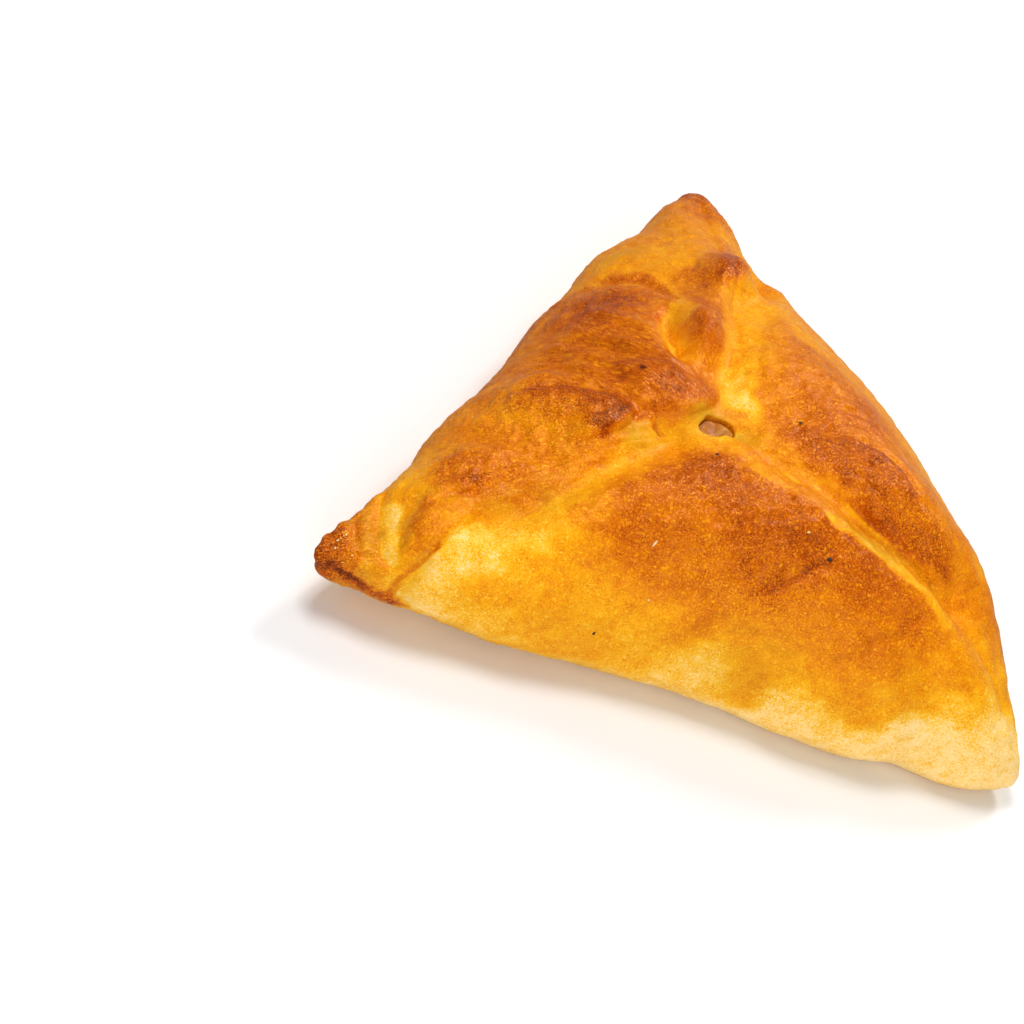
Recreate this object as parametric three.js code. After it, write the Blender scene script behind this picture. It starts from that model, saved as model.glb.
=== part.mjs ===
// One samsa: a triangular baked parcel whose three flaps of dough fold in over a meat and onion filling.
// Lengths are in millimetres and +Z is up. The parcel lies flat on its base at z = 0.
// X runs along the front edge, Y from the front edge to the far corner.
import * as THREE from 'three';

// Plan: a triangle with slightly bulging edges and blunt corners
const SIDE = 130;
const INRADIUS = SIDE / (2 * Math.sqrt(3));
const CORNER_SHARPNESS = 15;
const EDGES = [
  { name: 'front', out: 270, bulge: 2.8 },
  { name: 'right', out: 30, bulge: 2.2 },
  { name: 'left', out: 150, bulge: 2.4 },
];
const CORNERS = [
  { name: 'left', out: 210, reach: 1.6, lift: 5, thin: -3.4 },
  { name: 'right', out: 330, reach: 0, lift: -3, thin: 0.4 },
  { name: 'top', out: 90, reach: 1.4, lift: 0.5, thin: 0 },
];
const REACH_SPREAD = 13;
const LIFT_SPREAD = 22;
const THIN_SPREAD = 30;

// Hand-made unevenness of the edge, by direction from the middle
const EDGE_WAVES = [
  { name: 'front edge, left part', out: 227, spread: 12, by: 2.2 },
  { name: 'front edge fullness', out: 302, spread: 16, by: 2.6 },
  { name: 'front edge, lower belly', out: 310, spread: 6, by: 1.4 },
  { name: 'dent before the right corner', out: 318, spread: 3, by: -0.7 },
  { name: 'lump under the right corner', out: 324, spread: 5, by: 2 },
  { name: 'nick in the right corner', out: 327.5, spread: 2.2, by: -0.8 },
  { name: 'blunt right corner', out: 332, spread: 3, by: -0.8 },
  { name: 'fold behind the right corner', out: 341, spread: 6, by: 2.4 },
  { name: 'right edge, near part', out: 3, spread: 14, by: 1.4 },
  { name: 'right edge, middle', out: 30, spread: 22, by: 1.9 },
  { name: 'right edge, far part', out: 63, spread: 5, by: -0.9 },
  { name: 'nick beside the top corner', out: 79, spread: 4, by: -4.2 },
  { name: 'knob side of the top corner', out: 84, spread: 3, by: -1.2 },
  { name: 'blunt top corner', out: 92, spread: 2.4, by: -2.3 },
  { name: 'neck of the top corner', out: 100, spread: 4, by: -1.4 },
  { name: 'left edge, far part', out: 113, spread: 8, by: 2.4 },
  { name: 'left edge, middle', out: 133, spread: 14, by: 1.2 },
  { name: 'pinch beside the left corner', out: 199, spread: 8, by: -3.8 },
  { name: 'slim left corner', out: 206, spread: 3, by: -2.2 },
  { name: 'tip of the left corner', out: 210, spread: 2.2, by: 1.4 },
  { name: 'under the left corner', out: 213, spread: 2.2, by: -1.2 },
];

// Heights of the pillow form
const RIM_HEIGHT = 8;
const RIM_THICKNESS = 5.2;
const RIM_ROUNDNESS = 12;
const CROWN = 28.5;
const LEAN_X = 0.4;
const LEAN_Y = -0.12;
const LEAN_SPAN = 65;
const UNDER_INSET = 7;
const LIFTED_INSET = 18;
const LIFTED_BY = 6;
const RELIEF_MARGIN = 10;

// Swellings and dents of the flaps: centre, half sizes, turn, rise, flatness of the top
const SWELLINGS = [
  { name: 'dimple where the flaps meet', at: [-5, -3], half: [15, 10], turn: 20, rise: -3.6, flat: 1 },
  { name: 'left flap crown', at: [-19, 16], half: [10, 18], turn: 10, rise: 2.4, flat: 1 },
  { name: 'left flap nose', at: [-31, -3.5], half: [11.5, 6.5], turn: -35, rise: 3, flat: 1.8 },
  { name: 'left flap tongue', at: [-14.5, 0.5], half: [9, 5], turn: -28, rise: 2.6, flat: 1.6 },
  { name: 'left flap foot', at: [-46, -20], half: [6, 10], turn: -25, rise: 1.6, flat: 1 },
  { name: 'lump on the top ridge', at: [-7.5, 18.5], half: [6.5, 3.6], turn: 95, rise: 3.4, flat: 1.5 },
  { name: 'knob near the top corner', at: [-1, 39], half: [6.5, 4.2], turn: 80, rise: 3.6, flat: 1.5 },
  { name: 'neck of the top ridge', at: [-4, 29], half: [6, 3], turn: 75, rise: 1.6, flat: 1 },
  { name: 'hollow behind the knob', at: [8, 47], half: [9, 4.5], turn: 110, rise: -4.5, flat: 1 },
  { name: 'right flap crown', at: [18, 5], half: [14, 10], turn: -30, rise: 1.6, flat: 1 },
  { name: 'right flap hump', at: [28, -9], half: [13, 7.5], turn: -28, rise: 2.6, flat: 1.5 },
  { name: 'right shoulder', at: [48, -8], half: [11, 15], turn: 25, rise: 3.6, flat: 1 },
  { name: 'front flap crown', at: [1, -25], half: [27, 9], turn: -3, rise: 2, flat: 1.4 },
];

// Seams and creases: a curve from one end past a middle handle to the other end
const GROOVES = [
  {
    name: 'right seam', from: [-1, -6], past: [19, -20.5], to: [50, -24],
    half: 3.4, rise: -2.6, fade: 0.15,
  },
  {
    name: 'left seam', from: [-9, -6.5], past: [-22.5, -20], to: [-46, -34],
    half: 3.4, rise: -2.8, fade: 0.12,
  },
  { name: 'top seam', from: [-5, 1], past: [-1, 18], to: [4, 38], half: 4.2, rise: -2.4, fade: 0.2 },
  { name: 'pocket', from: [-10, 7], past: [-13.5, 14], to: [-13, 24], half: 2.2, rise: -2.6, fade: 0.3 },
  {
    name: 'left flap groove', from: [-52, -8], past: [-38, -15], to: [-26, -20],
    half: 2.6, rise: -1.4, fade: 0.3,
  },
  { name: 'front dent', from: [19, -24], past: [12, -29], to: [4, -37], half: 3, rise: -0.9, fade: 0.4 },
  {
    name: 'left neck', from: [-62, -24], past: [-55, -32], to: [-53, -44],
    half: 2.8, rise: -1.4, fade: 0.2,
  },
  {
    name: 'notch beside the vent', from: [-3, -4.5], past: [0, -4.8], to: [3, -6.8],
    half: 1.9, rise: -1.3, fade: 0.35,
  },
];
const CURVE_STEPS = 24;

// Free edges of folds: the ground to the left of the curve steps up or down and then eases back
const STEPS = [
  {
    name: 'left flap ledge', from: [-30, 30], past: [-17, 37], to: [-9, 24],
    edge: 2.4, reach: 8, rise: -2.2, fade: 0.3,
  },
  {
    name: 'lip of the right flap', from: [19, -12.5], past: [27, -19], to: [42, -20.5],
    edge: 1.6, reach: 7, rise: 1.2, fade: 0.25,
  },
  {
    name: 'edge of the left fold', from: [-53.5, -42], past: [-49.5, -36], to: [-42, -28],
    edge: 1.6, reach: 6, rise: 1, fade: 0.2,
  },
  {
    name: 'end of the nose', from: [-31, -12.5], past: [-22, -13], to: [-19, -3],
    edge: 1.6, reach: 5, rise: 1.2, fade: 0.25,
  },
];

// Vent where the three flaps meet, and the hollow that holds the filling
const VENT = { at: [-4.8, -4.5], half: [3.4, 2.4], turn: 12 };
const LIP_ROUND = 0.8;
const ROOF_BELOW_PILLOW = 9;
const HOLLOW_INSET = 9;
const HOLLOW_SHARPNESS = 5;
const HOLLOW_FLOOR = 5;
const GAP = 0.35;
const FILLING_BELOW_LIP = 0.9;
const MOUND = 0.5;

// Facets
const AROUND = 112;
const TOP_ROWS = 34;
const UNDER_ROWS = 4;
const ROOF_ROWS = 5;

const CRUST_COLOUR = 0xd98a22;
const FILLING_COLOUR = 0xbe7a3a;

const rad = (degrees) => (degrees * Math.PI) / 180;
const gauss = (q) => Math.exp(-q * q);
const wrap = (angle) => Math.atan2(Math.sin(angle), Math.cos(angle));
const mix = (a, b, t) => a + (b - a) * t;

function smooth(t) {
  const s = Math.min(1, Math.max(0, t));
  return s * s * (3 - 2 * s);
}

// Radius of a blunt triangle in a direction, from its inradius and the bulge of each edge
function bluntTriangle(angle, inset, sharpness) {
  let sum = 0;
  for (const edge of EDGES) {
    const lean = Math.max(0, Math.cos(angle - rad(edge.out)));
    sum += (lean / (INRADIUS + edge.bulge - inset)) ** sharpness;
  }
  return sum ** (-1 / sharpness);
}

// Sum of one corner property in a direction, fading away from each corner
function cornerShare(angle, key, spread) {
  let sum = 0;
  for (const corner of CORNERS) {
    sum += corner[key] * gauss(wrap(angle - rad(corner.out)) / rad(spread));
  }
  return sum;
}

// Radius of the parcel's edge in a direction
function outline(angle) {
  let radius = bluntTriangle(angle, 0, CORNER_SHARPNESS) + cornerShare(angle, 'reach', REACH_SPREAD);
  for (const wave of EDGE_WAVES) {
    radius += wave.by * gauss(wrap(angle - rad(wave.out)) / rad(wave.spread));
  }
  return radius;
}

const rimHeight = (angle) => RIM_HEIGHT + cornerShare(angle, 'lift', LIFT_SPREAD);

// Rise of an oval swelling at a point
function swelling(x, y, s) {
  const c = Math.cos(rad(s.turn));
  const n = Math.sin(rad(s.turn));
  const dx = x - s.at[0];
  const dy = y - s.at[1];
  const q = ((dx * c + dy * n) / s.half[0]) ** 2 + ((dy * c - dx * n) / s.half[1]) ** 2;
  return s.rise * Math.exp(-(q ** s.flat));
}

const curveAt = (line, k, t) =>
  (1 - t) ** 2 * line.from[k] + 2 * t * (1 - t) * line.past[k] + t * t * line.to[k];

// Signed distance from a curve, positive on its left, and how far along it the nearest point is
function nearCurve(x, y, line) {
  let best = { distance: Infinity, along: 0 };
  for (let k = 0; k < CURVE_STEPS; k += 1) {
    const x0 = curveAt(line, 0, k / CURVE_STEPS);
    const y0 = curveAt(line, 1, k / CURVE_STEPS);
    const dx = curveAt(line, 0, (k + 1) / CURVE_STEPS) - x0;
    const dy = curveAt(line, 1, (k + 1) / CURVE_STEPS) - y0;
    const t = Math.min(1, Math.max(0, ((x - x0) * dx + (y - y0) * dy) / (dx * dx + dy * dy)));
    const ex = x - x0 - t * dx;
    const ey = y - y0 - t * dy;
    const away = Math.hypot(ex, ey);
    if (away < Math.abs(best.distance)) {
      best = { distance: dx * ey - dy * ex < 0 ? -away : away, along: (k + t) / CURVE_STEPS };
    }
  }
  return best;
}

const fadeEnds = (along, fade) => smooth(along / fade) * smooth((1 - along) / fade);

function groove(x, y, line) {
  const near = nearCurve(x, y, line);
  return line.rise * gauss(near.distance / line.half) * fadeEnds(near.along, line.fade);
}

function step(x, y, line) {
  const near = nearCurve(x, y, line);
  const rise = line.rise * smooth((near.distance + line.edge) / (2 * line.edge));
  const back = gauss(Math.max(0, near.distance - line.edge) / line.reach);
  return rise * back * fadeEnds(near.along, line.fade);
}

function relief(x, y) {
  let z = 0;
  for (const line of STEPS) {
    z += step(x, y, line);
  }
  for (const s of SWELLINGS) {
    z += swelling(x, y, s);
  }
  for (const line of GROOVES) {
    z += groove(x, y, line);
  }
  return z;
}

// Height of the plain pillow over the triangle
function pillowHeight(x, y) {
  const angle = Math.atan2(y, x);
  const share = Math.min(1, Math.hypot(x, y) / outline(angle));
  const leans = EDGES.map((e) => Math.cos(angle - rad(e.out)));
  const radius = (share * INRADIUS) / Math.max(...leans);
  const pillow = leans.reduce((p, c) => p * Math.max(0, 1 - (radius * c) / INRADIUS), 1);
  const crown = CROWN * (1 + (LEAN_X * x + LEAN_Y * y) / LEAN_SPAN);
  const thick = RIM_THICKNESS + share ** 2 * cornerShare(angle, 'thin', THIN_SPREAD);
  const rim = mix(RIM_HEIGHT, rimHeight(angle), share ** 2);
  return rim + Math.sqrt(crown ** 2 * pillow + thick ** 2 * (1 - share ** RIM_ROUNDNESS));
}

// Height of the baked top: the pillow with the relief of the flaps, which fades out at the edge
function height(x, y) {
  const room = Math.max(0, outline(Math.atan2(y, x)) - Math.hypot(x, y));
  return pillowHeight(x, y) + relief(x, y) * smooth(room / RELIEF_MARGIN);
}

// Directions that cut the edge into equal lengths
function evenAngles(count) {
  const fine = 3600;
  const angles = [0];
  let total = 0;
  const lengths = [0];
  for (let k = 1; k <= fine; k += 1) {
    const a = ((k - 1) / fine) * 2 * Math.PI;
    const b = (k / fine) * 2 * Math.PI;
    const ra = outline(a);
    const rb = outline(b);
    total += Math.hypot(rb * Math.cos(b) - ra * Math.cos(a), rb * Math.sin(b) - ra * Math.sin(a));
    lengths.push(total);
  }
  let k = 0;
  for (let j = 1; j < count; j += 1) {
    const goal = (total * j) / count;
    while (lengths[k + 1] < goal) {
      k += 1;
    }
    const part = (goal - lengths[k]) / (lengths[k + 1] - lengths[k]);
    angles.push(((k + part) / fine) * 2 * Math.PI);
  }
  return angles;
}

const edgePoint = (angle) => [outline(angle) * Math.cos(angle), outline(angle) * Math.sin(angle)];

// Radius of the oval vent in a direction from its own middle
function ventRadius(out) {
  const a = out - rad(VENT.turn);
  return 1 / Math.hypot(Math.cos(a) / VENT.half[0], Math.sin(a) / VENT.half[1]);
}

// Point on the vent's wall on the way to a point of the edge, drawn in or out by a margin
function ventPoint(target, margin) {
  const out = Math.atan2(target[1] - VENT.at[1], target[0] - VENT.at[0]);
  const r = ventRadius(out) + margin;
  return [VENT.at[0] + r * Math.cos(out), VENT.at[1] + r * Math.sin(out)];
}

// Point on the hollow's side wall in a direction, drawn in by a margin
function hollowPoint(angle, margin) {
  const r = bluntTriangle(angle, HOLLOW_INSET + margin, HOLLOW_SHARPNESS);
  return [r * Math.cos(angle), r * Math.sin(angle)];
}

const between = (p, q, t) => [mix(p[0], q[0], t), mix(p[1], q[1], t)];
const ringOf = (angles, point) => angles.map(point);
const raised = (p, z) => [p[0], p[1], z];
const onTop = (p) => raised(p, height(p[0], p[1]));
const underTop = (p, below) => raised(p, pillowHeight(p[0], p[1]) - ROOF_BELOW_PILLOW - below);

// Closed surface through a run of rings; a ring of one point closes an end
function loft(rings) {
  const shift = frameShift;
  const positions = [];
  const starts = [];
  for (const ring of rings) {
    starts.push(positions.length / 3);
    for (const p of ring) {
      positions.push(p[0] - shift[0], p[1] - shift[1], p[2]);
    }
  }
  const index = [];
  for (let k = 0; k + 1 < rings.length; k += 1) {
    const count = Math.max(rings[k].length, rings[k + 1].length);
    const low = (j) => starts[k] + (rings[k].length === 1 ? 0 : j % count);
    const high = (j) => starts[k + 1] + (rings[k + 1].length === 1 ? 0 : j % count);
    for (let j = 0; j < count; j += 1) {
      if (rings[k].length > 1) {
        index.push(low(j), low(j + 1), high(j + 1));
      }
      if (rings[k + 1].length > 1) {
        index.push(low(j), high(j + 1), high(j));
      }
    }
  }
  const geometry = new THREE.BufferGeometry();
  geometry.setAttribute('position', new THREE.Float32BufferAttribute(positions, 3));
  geometry.setIndex(index);
  geometry.computeVertexNormals();
  return geometry;
}

// Rings of the crust: base, rolled under-edge, baked top, vent wall, then the hollow inside
function crustRings() {
  const angles = evenAngles(AROUND);
  const rings = [[[VENT.at[0], VENT.at[1], 0]]];
  for (let k = UNDER_ROWS; k >= 1; k -= 1) {
    const turn = (k / UNDER_ROWS) * (Math.PI / 2);
    rings.push(
      ringOf(angles, (a) => {
        const rim = rimHeight(a);
        const lifted = Math.min(1, Math.max(0, (rim - RIM_HEIGHT) / LIFTED_BY));
        const inset = UNDER_INSET + LIFTED_INSET * lifted;
        const part = 1 - (inset * (1 - Math.cos(turn))) / outline(a);
        const p = edgePoint(a);
        return [p[0] * part, p[1] * part, rim * (1 - Math.sin(turn))];
      }),
    );
  }
  for (let k = 0; k <= TOP_ROWS; k += 1) {
    const v = 1 - k / TOP_ROWS;
    const t = mix(v, Math.sin((v * Math.PI) / 2), 0.6);
    rings.push(ringOf(angles, (a) => onTop(between(ventPoint(edgePoint(a), LIP_ROUND), edgePoint(a), t))));
  }
  rings.push(
    ringOf(angles, (a) => {
      const p = onTop(ventPoint(edgePoint(a), 0));
      return raised(p, p[2] - LIP_ROUND);
    }),
  );
  for (let k = 0; k <= ROOF_ROWS; k += 1) {
    const t = k / ROOF_ROWS;
    rings.push(ringOf(angles, (a) => underTop(between(ventPoint(edgePoint(a), 0), hollowPoint(a, 0), t), 0)));
  }
  rings.push(ringOf(angles, (a) => raised(hollowPoint(a, 0), HOLLOW_FLOOR)));
  rings.push([[VENT.at[0], VENT.at[1], HOLLOW_FLOOR]]);
  return rings;
}

// Rings of the filling: it lies in the hollow with a hair of room and stands up into the vent
function fillingRings() {
  const angles = evenAngles(AROUND);
  const floor = HOLLOW_FLOOR + GAP;
  const start = (a) => ventPoint(edgePoint(a), -GAP);
  const end = (a) => hollowPoint(a, 2 * GAP);
  const rings = [[[VENT.at[0], VENT.at[1], floor]]];
  rings.push(ringOf(angles, (a) => raised(end(a), floor)));
  for (let k = ROOF_ROWS; k >= 0; k -= 1) {
    rings.push(ringOf(angles, (a) => underTop(between(start(a), end(a), k / ROOF_ROWS), 2 * GAP)));
  }
  const lip = height(VENT.at[0], VENT.at[1]);
  rings.push(ringOf(angles, (a) => raised(start(a), lip - FILLING_BELOW_LIP - MOUND)));
  rings.push([[VENT.at[0], VENT.at[1], lip - FILLING_BELOW_LIP]]);
  return rings;
}

// Middle of the plan, which becomes the part's origin
function planMiddle() {
  const rim = evenAngles(AROUND).map(edgePoint);
  const xs = rim.map((p) => p[0]);
  const ys = rim.map((p) => p[1]);
  return [(Math.min(...xs) + Math.max(...xs)) / 2, (Math.min(...ys) + Math.max(...ys)) / 2];
}

const frameShift = planMiddle();

function piece(name, rings, colour, roughness) {
  const material = new THREE.MeshStandardMaterial({ color: colour, roughness, metalness: 0 });
  material.name = name;
  const mesh = new THREE.Mesh(loft(rings), material);
  mesh.name = name;
  return mesh;
}

const group = new THREE.Group();
group.name = 'samsa';
group.add(piece('crust', crustRings(), CRUST_COLOUR, 0.5));
group.add(piece('filling', fillingRings(), FILLING_COLOUR, 0.6));

export default group;
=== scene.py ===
import math
from collections import namedtuple

import bpy
import numpy as np
from bpy.props import FloatProperty, FloatVectorProperty, IntProperty, PointerProperty
from mathutils import Matrix


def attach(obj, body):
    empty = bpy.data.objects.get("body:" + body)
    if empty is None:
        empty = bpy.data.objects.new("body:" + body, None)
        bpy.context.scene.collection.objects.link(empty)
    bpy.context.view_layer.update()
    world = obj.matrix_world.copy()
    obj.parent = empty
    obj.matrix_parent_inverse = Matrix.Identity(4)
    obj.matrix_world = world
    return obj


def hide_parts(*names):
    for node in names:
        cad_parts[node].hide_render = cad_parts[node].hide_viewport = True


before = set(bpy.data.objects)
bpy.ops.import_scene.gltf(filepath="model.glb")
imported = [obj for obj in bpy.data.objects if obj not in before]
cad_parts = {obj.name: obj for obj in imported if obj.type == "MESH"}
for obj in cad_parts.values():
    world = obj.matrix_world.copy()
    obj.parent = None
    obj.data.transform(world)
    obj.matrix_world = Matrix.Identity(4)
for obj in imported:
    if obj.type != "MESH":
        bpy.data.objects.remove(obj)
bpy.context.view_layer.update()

bl_info = {
    "name": "Samsa",
    "version": (1, 0, 0),
    "blender": (4, 5, 0),
    "location": "View3D > Sidebar > Samsa",
    "description": "Builds a baked triangular samsa with its filling, crumbs and a plain studio",
    "category": "Object",
}

MM = 0.001

# Plan of the parcel, in millimetres about the middle of its triangle
EdgeLine = namedtuple("EdgeLine", "name out bulge")
Corner = namedtuple("Corner", "name out reach lift thin")
Wave = namedtuple("Wave", "name out spread by")
EDGES = (
    EdgeLine("front", 270, 2.8),
    EdgeLine("right", 30, 2.2),
    EdgeLine("left", 150, 2.4),
)
CORNERS = (
    Corner("left", 210, 1.6, 5, -3.4),
    Corner("right", 330, 0, -3, 0.4),
    Corner("top", 90, 1.4, 0.5, 0),
)
REACH_SPREAD, LIFT_SPREAD, THIN_SPREAD = 13, 22, 30
EDGE_WAVES = (
    Wave("front edge, left part", 227, 12, 2.2),
    Wave("front edge fullness", 302, 16, 2.6),
    Wave("front edge, lower belly", 310, 6, 1.4),
    Wave("dent before the right corner", 318, 3, -0.7),
    Wave("lump under the right corner", 324, 5, 2),
    Wave("nick in the right corner", 327.5, 2.2, -0.8),
    Wave("blunt right corner", 332, 3, -0.8),
    Wave("fold behind the right corner", 341, 6, 2.4),
    Wave("right edge, near part", 3, 14, 1.4),
    Wave("right edge, middle", 30, 22, 1.9),
    Wave("right edge, far part", 63, 5, -0.9),
    Wave("nick beside the top corner", 79, 4, -4.2),
    Wave("knob side of the top corner", 84, 3, -1.2),
    Wave("blunt top corner", 92, 2.4, -2.3),
    Wave("neck of the top corner", 100, 4, -1.4),
    Wave("left edge, far part", 113, 8, 2.4),
    Wave("left edge, middle", 133, 14, 1.2),
    Wave("pinch beside the left corner", 199, 8, -3.8),
    Wave("slim left corner", 206, 3, -2.2),
    Wave("tip of the left corner", 210, 2.2, 1.4),
    Wave("under the left corner", 213, 2.2, -1.2),
)

# Broad relief of the flaps
Swelling = namedtuple("Swelling", "name at half turn rise flat")
Groove = namedtuple("Groove", "name start past end half rise fade")
Step = namedtuple("Step", "name start past end edge reach rise fade push")
SWELLINGS = (
    Swelling("dimple where the flaps meet", (-5, -3), (15, 10), 20, -3.6, 1),
    Swelling("left flap crown", (-19, 16), (10, 18), 10, 2.4, 1),
    Swelling("left flap nose", (-31, -3.5), (11.5, 6.5), -35, 3, 1.9),
    Swelling("left flap tongue", (-14.5, 0.5), (9, 5), -28, 2.6, 1.8),
    Swelling("left flap foot", (-46, -20), (6, 10), -25, 1.6, 1),
    Swelling("lump on the top ridge", (-7.5, 18.5), (6.5, 3.6), 95, 3.4, 1.6),
    Swelling("knob near the top corner", (-1, 39), (6.5, 4.2), 80, 3.6, 1.6),
    Swelling("neck of the top ridge", (-4, 29), (6, 3), 75, 1.6, 1),
    Swelling("hollow behind the knob", (8, 47), (9, 4.5), 110, -4.5, 1),
    Swelling("right flap crown", (18, 5), (14, 10), -30, 1.6, 1),
    Swelling("right flap hump", (28, -9), (13, 7.5), -28, 2.6, 1.5),
    Swelling("right shoulder", (48, -8), (11, 15), 25, 3.6, 1),
    Swelling("front flap crown", (1, -25), (27, 9), -3, 2, 1.4),
)
GROOVES = (
    Groove("right seam", (-1, -6), (19, -20.5), (50, -24), 3.4, -2.6, 0.15),
    Groove("left seam", (-9, -6.5), (-22.5, -20), (-46, -34), 3.4, -2.8, 0.12),
    Groove("top seam", (-5, 1), (-1, 18), (4, 38), 4.2, -2.4, 0.2),
    Groove("pocket", (-10, 7), (-13.5, 14), (-13, 24), 2.2, -2.6, 0.3),
    Groove("left flap groove", (-52, -8), (-38, -15), (-26, -20), 2.6, -1.4, 0.3),
    Groove("front dent", (19, -24), (12, -29), (4, -37), 3, -0.9, 0.4),
    Groove("left neck", (-62, -24), (-55, -32), (-53, -44), 2.8, -1.4, 0.2),
    Groove("notch beside the vent", (-3, -4.5), (0, -4.8), (3, -6.8), 1.9, -1.3, 0.35),
)
STEPS = (
    Step("left flap ledge", (-30, 30), (-17, 37), (-9, 24), 1.8, 8, -2.2, 0.3, 0),
    Step("lip of the right flap", (18.6, -13.2), (28, -20.4), (42, -20.8), 0.8, 7, 1.4, 0.25, 0.8),
    Step("edge of the left fold", (-53.5, -42), (-49.5, -36), (-42, -28), 1, 6, 1.3, 0.2, 0.6),
    Step("end of the nose", (-31, -12.5), (-22, -13), (-19, -3), 0.9, 5, 1.4, 0.25, 0.8),
)
RELIEF_MARGIN = 10

# Finer relief, which runs nearly to the edge
FINE_GROOVES = (
    Groove("crease in the pocket", (-10.6, 9.5), (-11.5, 14), (-13, 19), 0.8, -0.9, 0.3),
    Groove("crease of the front dent", (17.5, -27), (11, -31), (4, -34.6), 0.9, -0.9, 0.3),
    Groove("short crease in the front flap", (24.5, -33.5), (26.5, -36), (29.5, -38), 0.6, -0.35, 0.4),
    Groove("slit beside the nose", (-16.6, -6.8), (-15, -7.2), (-13.6, -8), 0.5, -0.9, 0.3),
    Groove("crack under the left fold", (-54, -42.4), (-49, -36.6), (-41.5, -27.6), 0.8, -0.5, 0.2),
    Groove("first pleat of the left corner", (-61.5, -30.5), (-63, -35), (-61, -40), 0.8, -0.7, 0.3),
    Groove("second pleat of the left corner", (-57, -23.5), (-60.5, -33), (-55.5, -42), 0.9, -1, 0.2),
    Groove("crease of the foot", (-50, -27), (-46, -27.5), (-43, -25), 0.6, -0.5, 0.3),
    Groove("crease before the right corner", (52, -42.5), (56.5, -41), (60.5, -39.5), 0.7, -0.5, 0.3),
    Groove("crease over the nose", (-40, -2.4), (-31, 2.2), (-20.4, -3.6), 1, -1.2, 0.3),
    Groove("first wrinkle of the left flap", (-31, 21.8), (-24, 10.5), (-6.9, 4.8), 0.9, 0.6, 0.25),
    Groove("second wrinkle of the left flap", (-33.5, 16), (-27, 9), (-19.5, 1.9), 0.9, 0.6, 0.25),
    Groove("third wrinkle of the left flap", (-35.5, 9.5), (-29, 9), (-21.9, -0.7), 0.8, 0.5, 0.25),
    Groove("fourth wrinkle of the left flap", (-39.6, 0.4), (-31.5, 6.4), (-21.9, -2), 0.8, 0.5, 0.25),
    Groove("fifth wrinkle of the left flap", (-28, 25), (-21, 17), (-14.6, 14.5), 0.8, 0.4, 0.3),
    Groove("crease of the ledge", (-21, 34.6), (-14.5, 38.4), (-10.4, 29), 0.8, -0.5, 0.25),
    Groove("ridge of the right flap", (12, 3), (22, 8), (31, -3), 1, 0.5, 0.3),
    Groove("second ridge of the right flap", (13.5, 0.5), (21, 4.5), (28.5, -3), 0.8, 0.35, 0.3),
    Groove("third ridge of the right flap", (31, -14), (38, -16), (46, -22), 0.9, 0.4, 0.3),
    Groove("crease round the right hump", (16, -3.2), (29.5, -3.4), (31, -15), 0.8, -0.6, 0.25),
    Groove("wrinkle of the right corner", (57, -33), (59, -29), (59.5, -24), 0.9, -0.35, 0.4),
    Groove("second wrinkle of the right corner", (53, -33), (55, -28), (55.5, -22), 1, -0.3, 0.4),
)
FINE_STEPS = (
    Step("collar layer", (-54.5, -42), (-54.5, -35), (-51.5, -25.5), 0.8, 4.5, -1.1, 0.2, 0),
    Step("wrap of the left corner", (-56.5, -42), (-60, -35), (-58.5, -26.5), 0.6, 4, -0.6, 0.2, 0),
    Step("end of the tongue", (-16, -5.5), (-5, -3), (-4.5, 6), 0.9, 4, 0.9, 0.3, 0.6),
    Step("crag of the right lip", (30, -16), (33, -18.5), (36, -16.5), 0.6, 2.5, 0.5, 0.3, 0.3),
    Step("torn piece of the foot", (-48, -28), (-44, -27), (-44.5, -22), 0.6, 3, 0.5, 0.3, 0.3),
)
FINE_MARGIN = 2.5

# Scorched edge and tears of the left corner, as curves in space
Scar = namedtuple("Scar", "name start past end half depth browning")
SCARS = (
    Scar("scorched edge", (-67.1, -40.2, 10.8), (-60, -41.4, 8.8), (-51.5, -42.2, 7.6), 1.6, 0.1, 1.05),
    Scar("torn slit", (-65.4, -40.6, 10.8), (-62, -40.9, 10.2), (-57, -41.6, 9), 0.7, 1, 1.45),
    Scar("second tear", (-64, -40.9, 9.4), (-61.5, -41.2, 8.8), (-59, -41.6, 7.8), 0.45, 0.6, 1.25),
)

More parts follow.
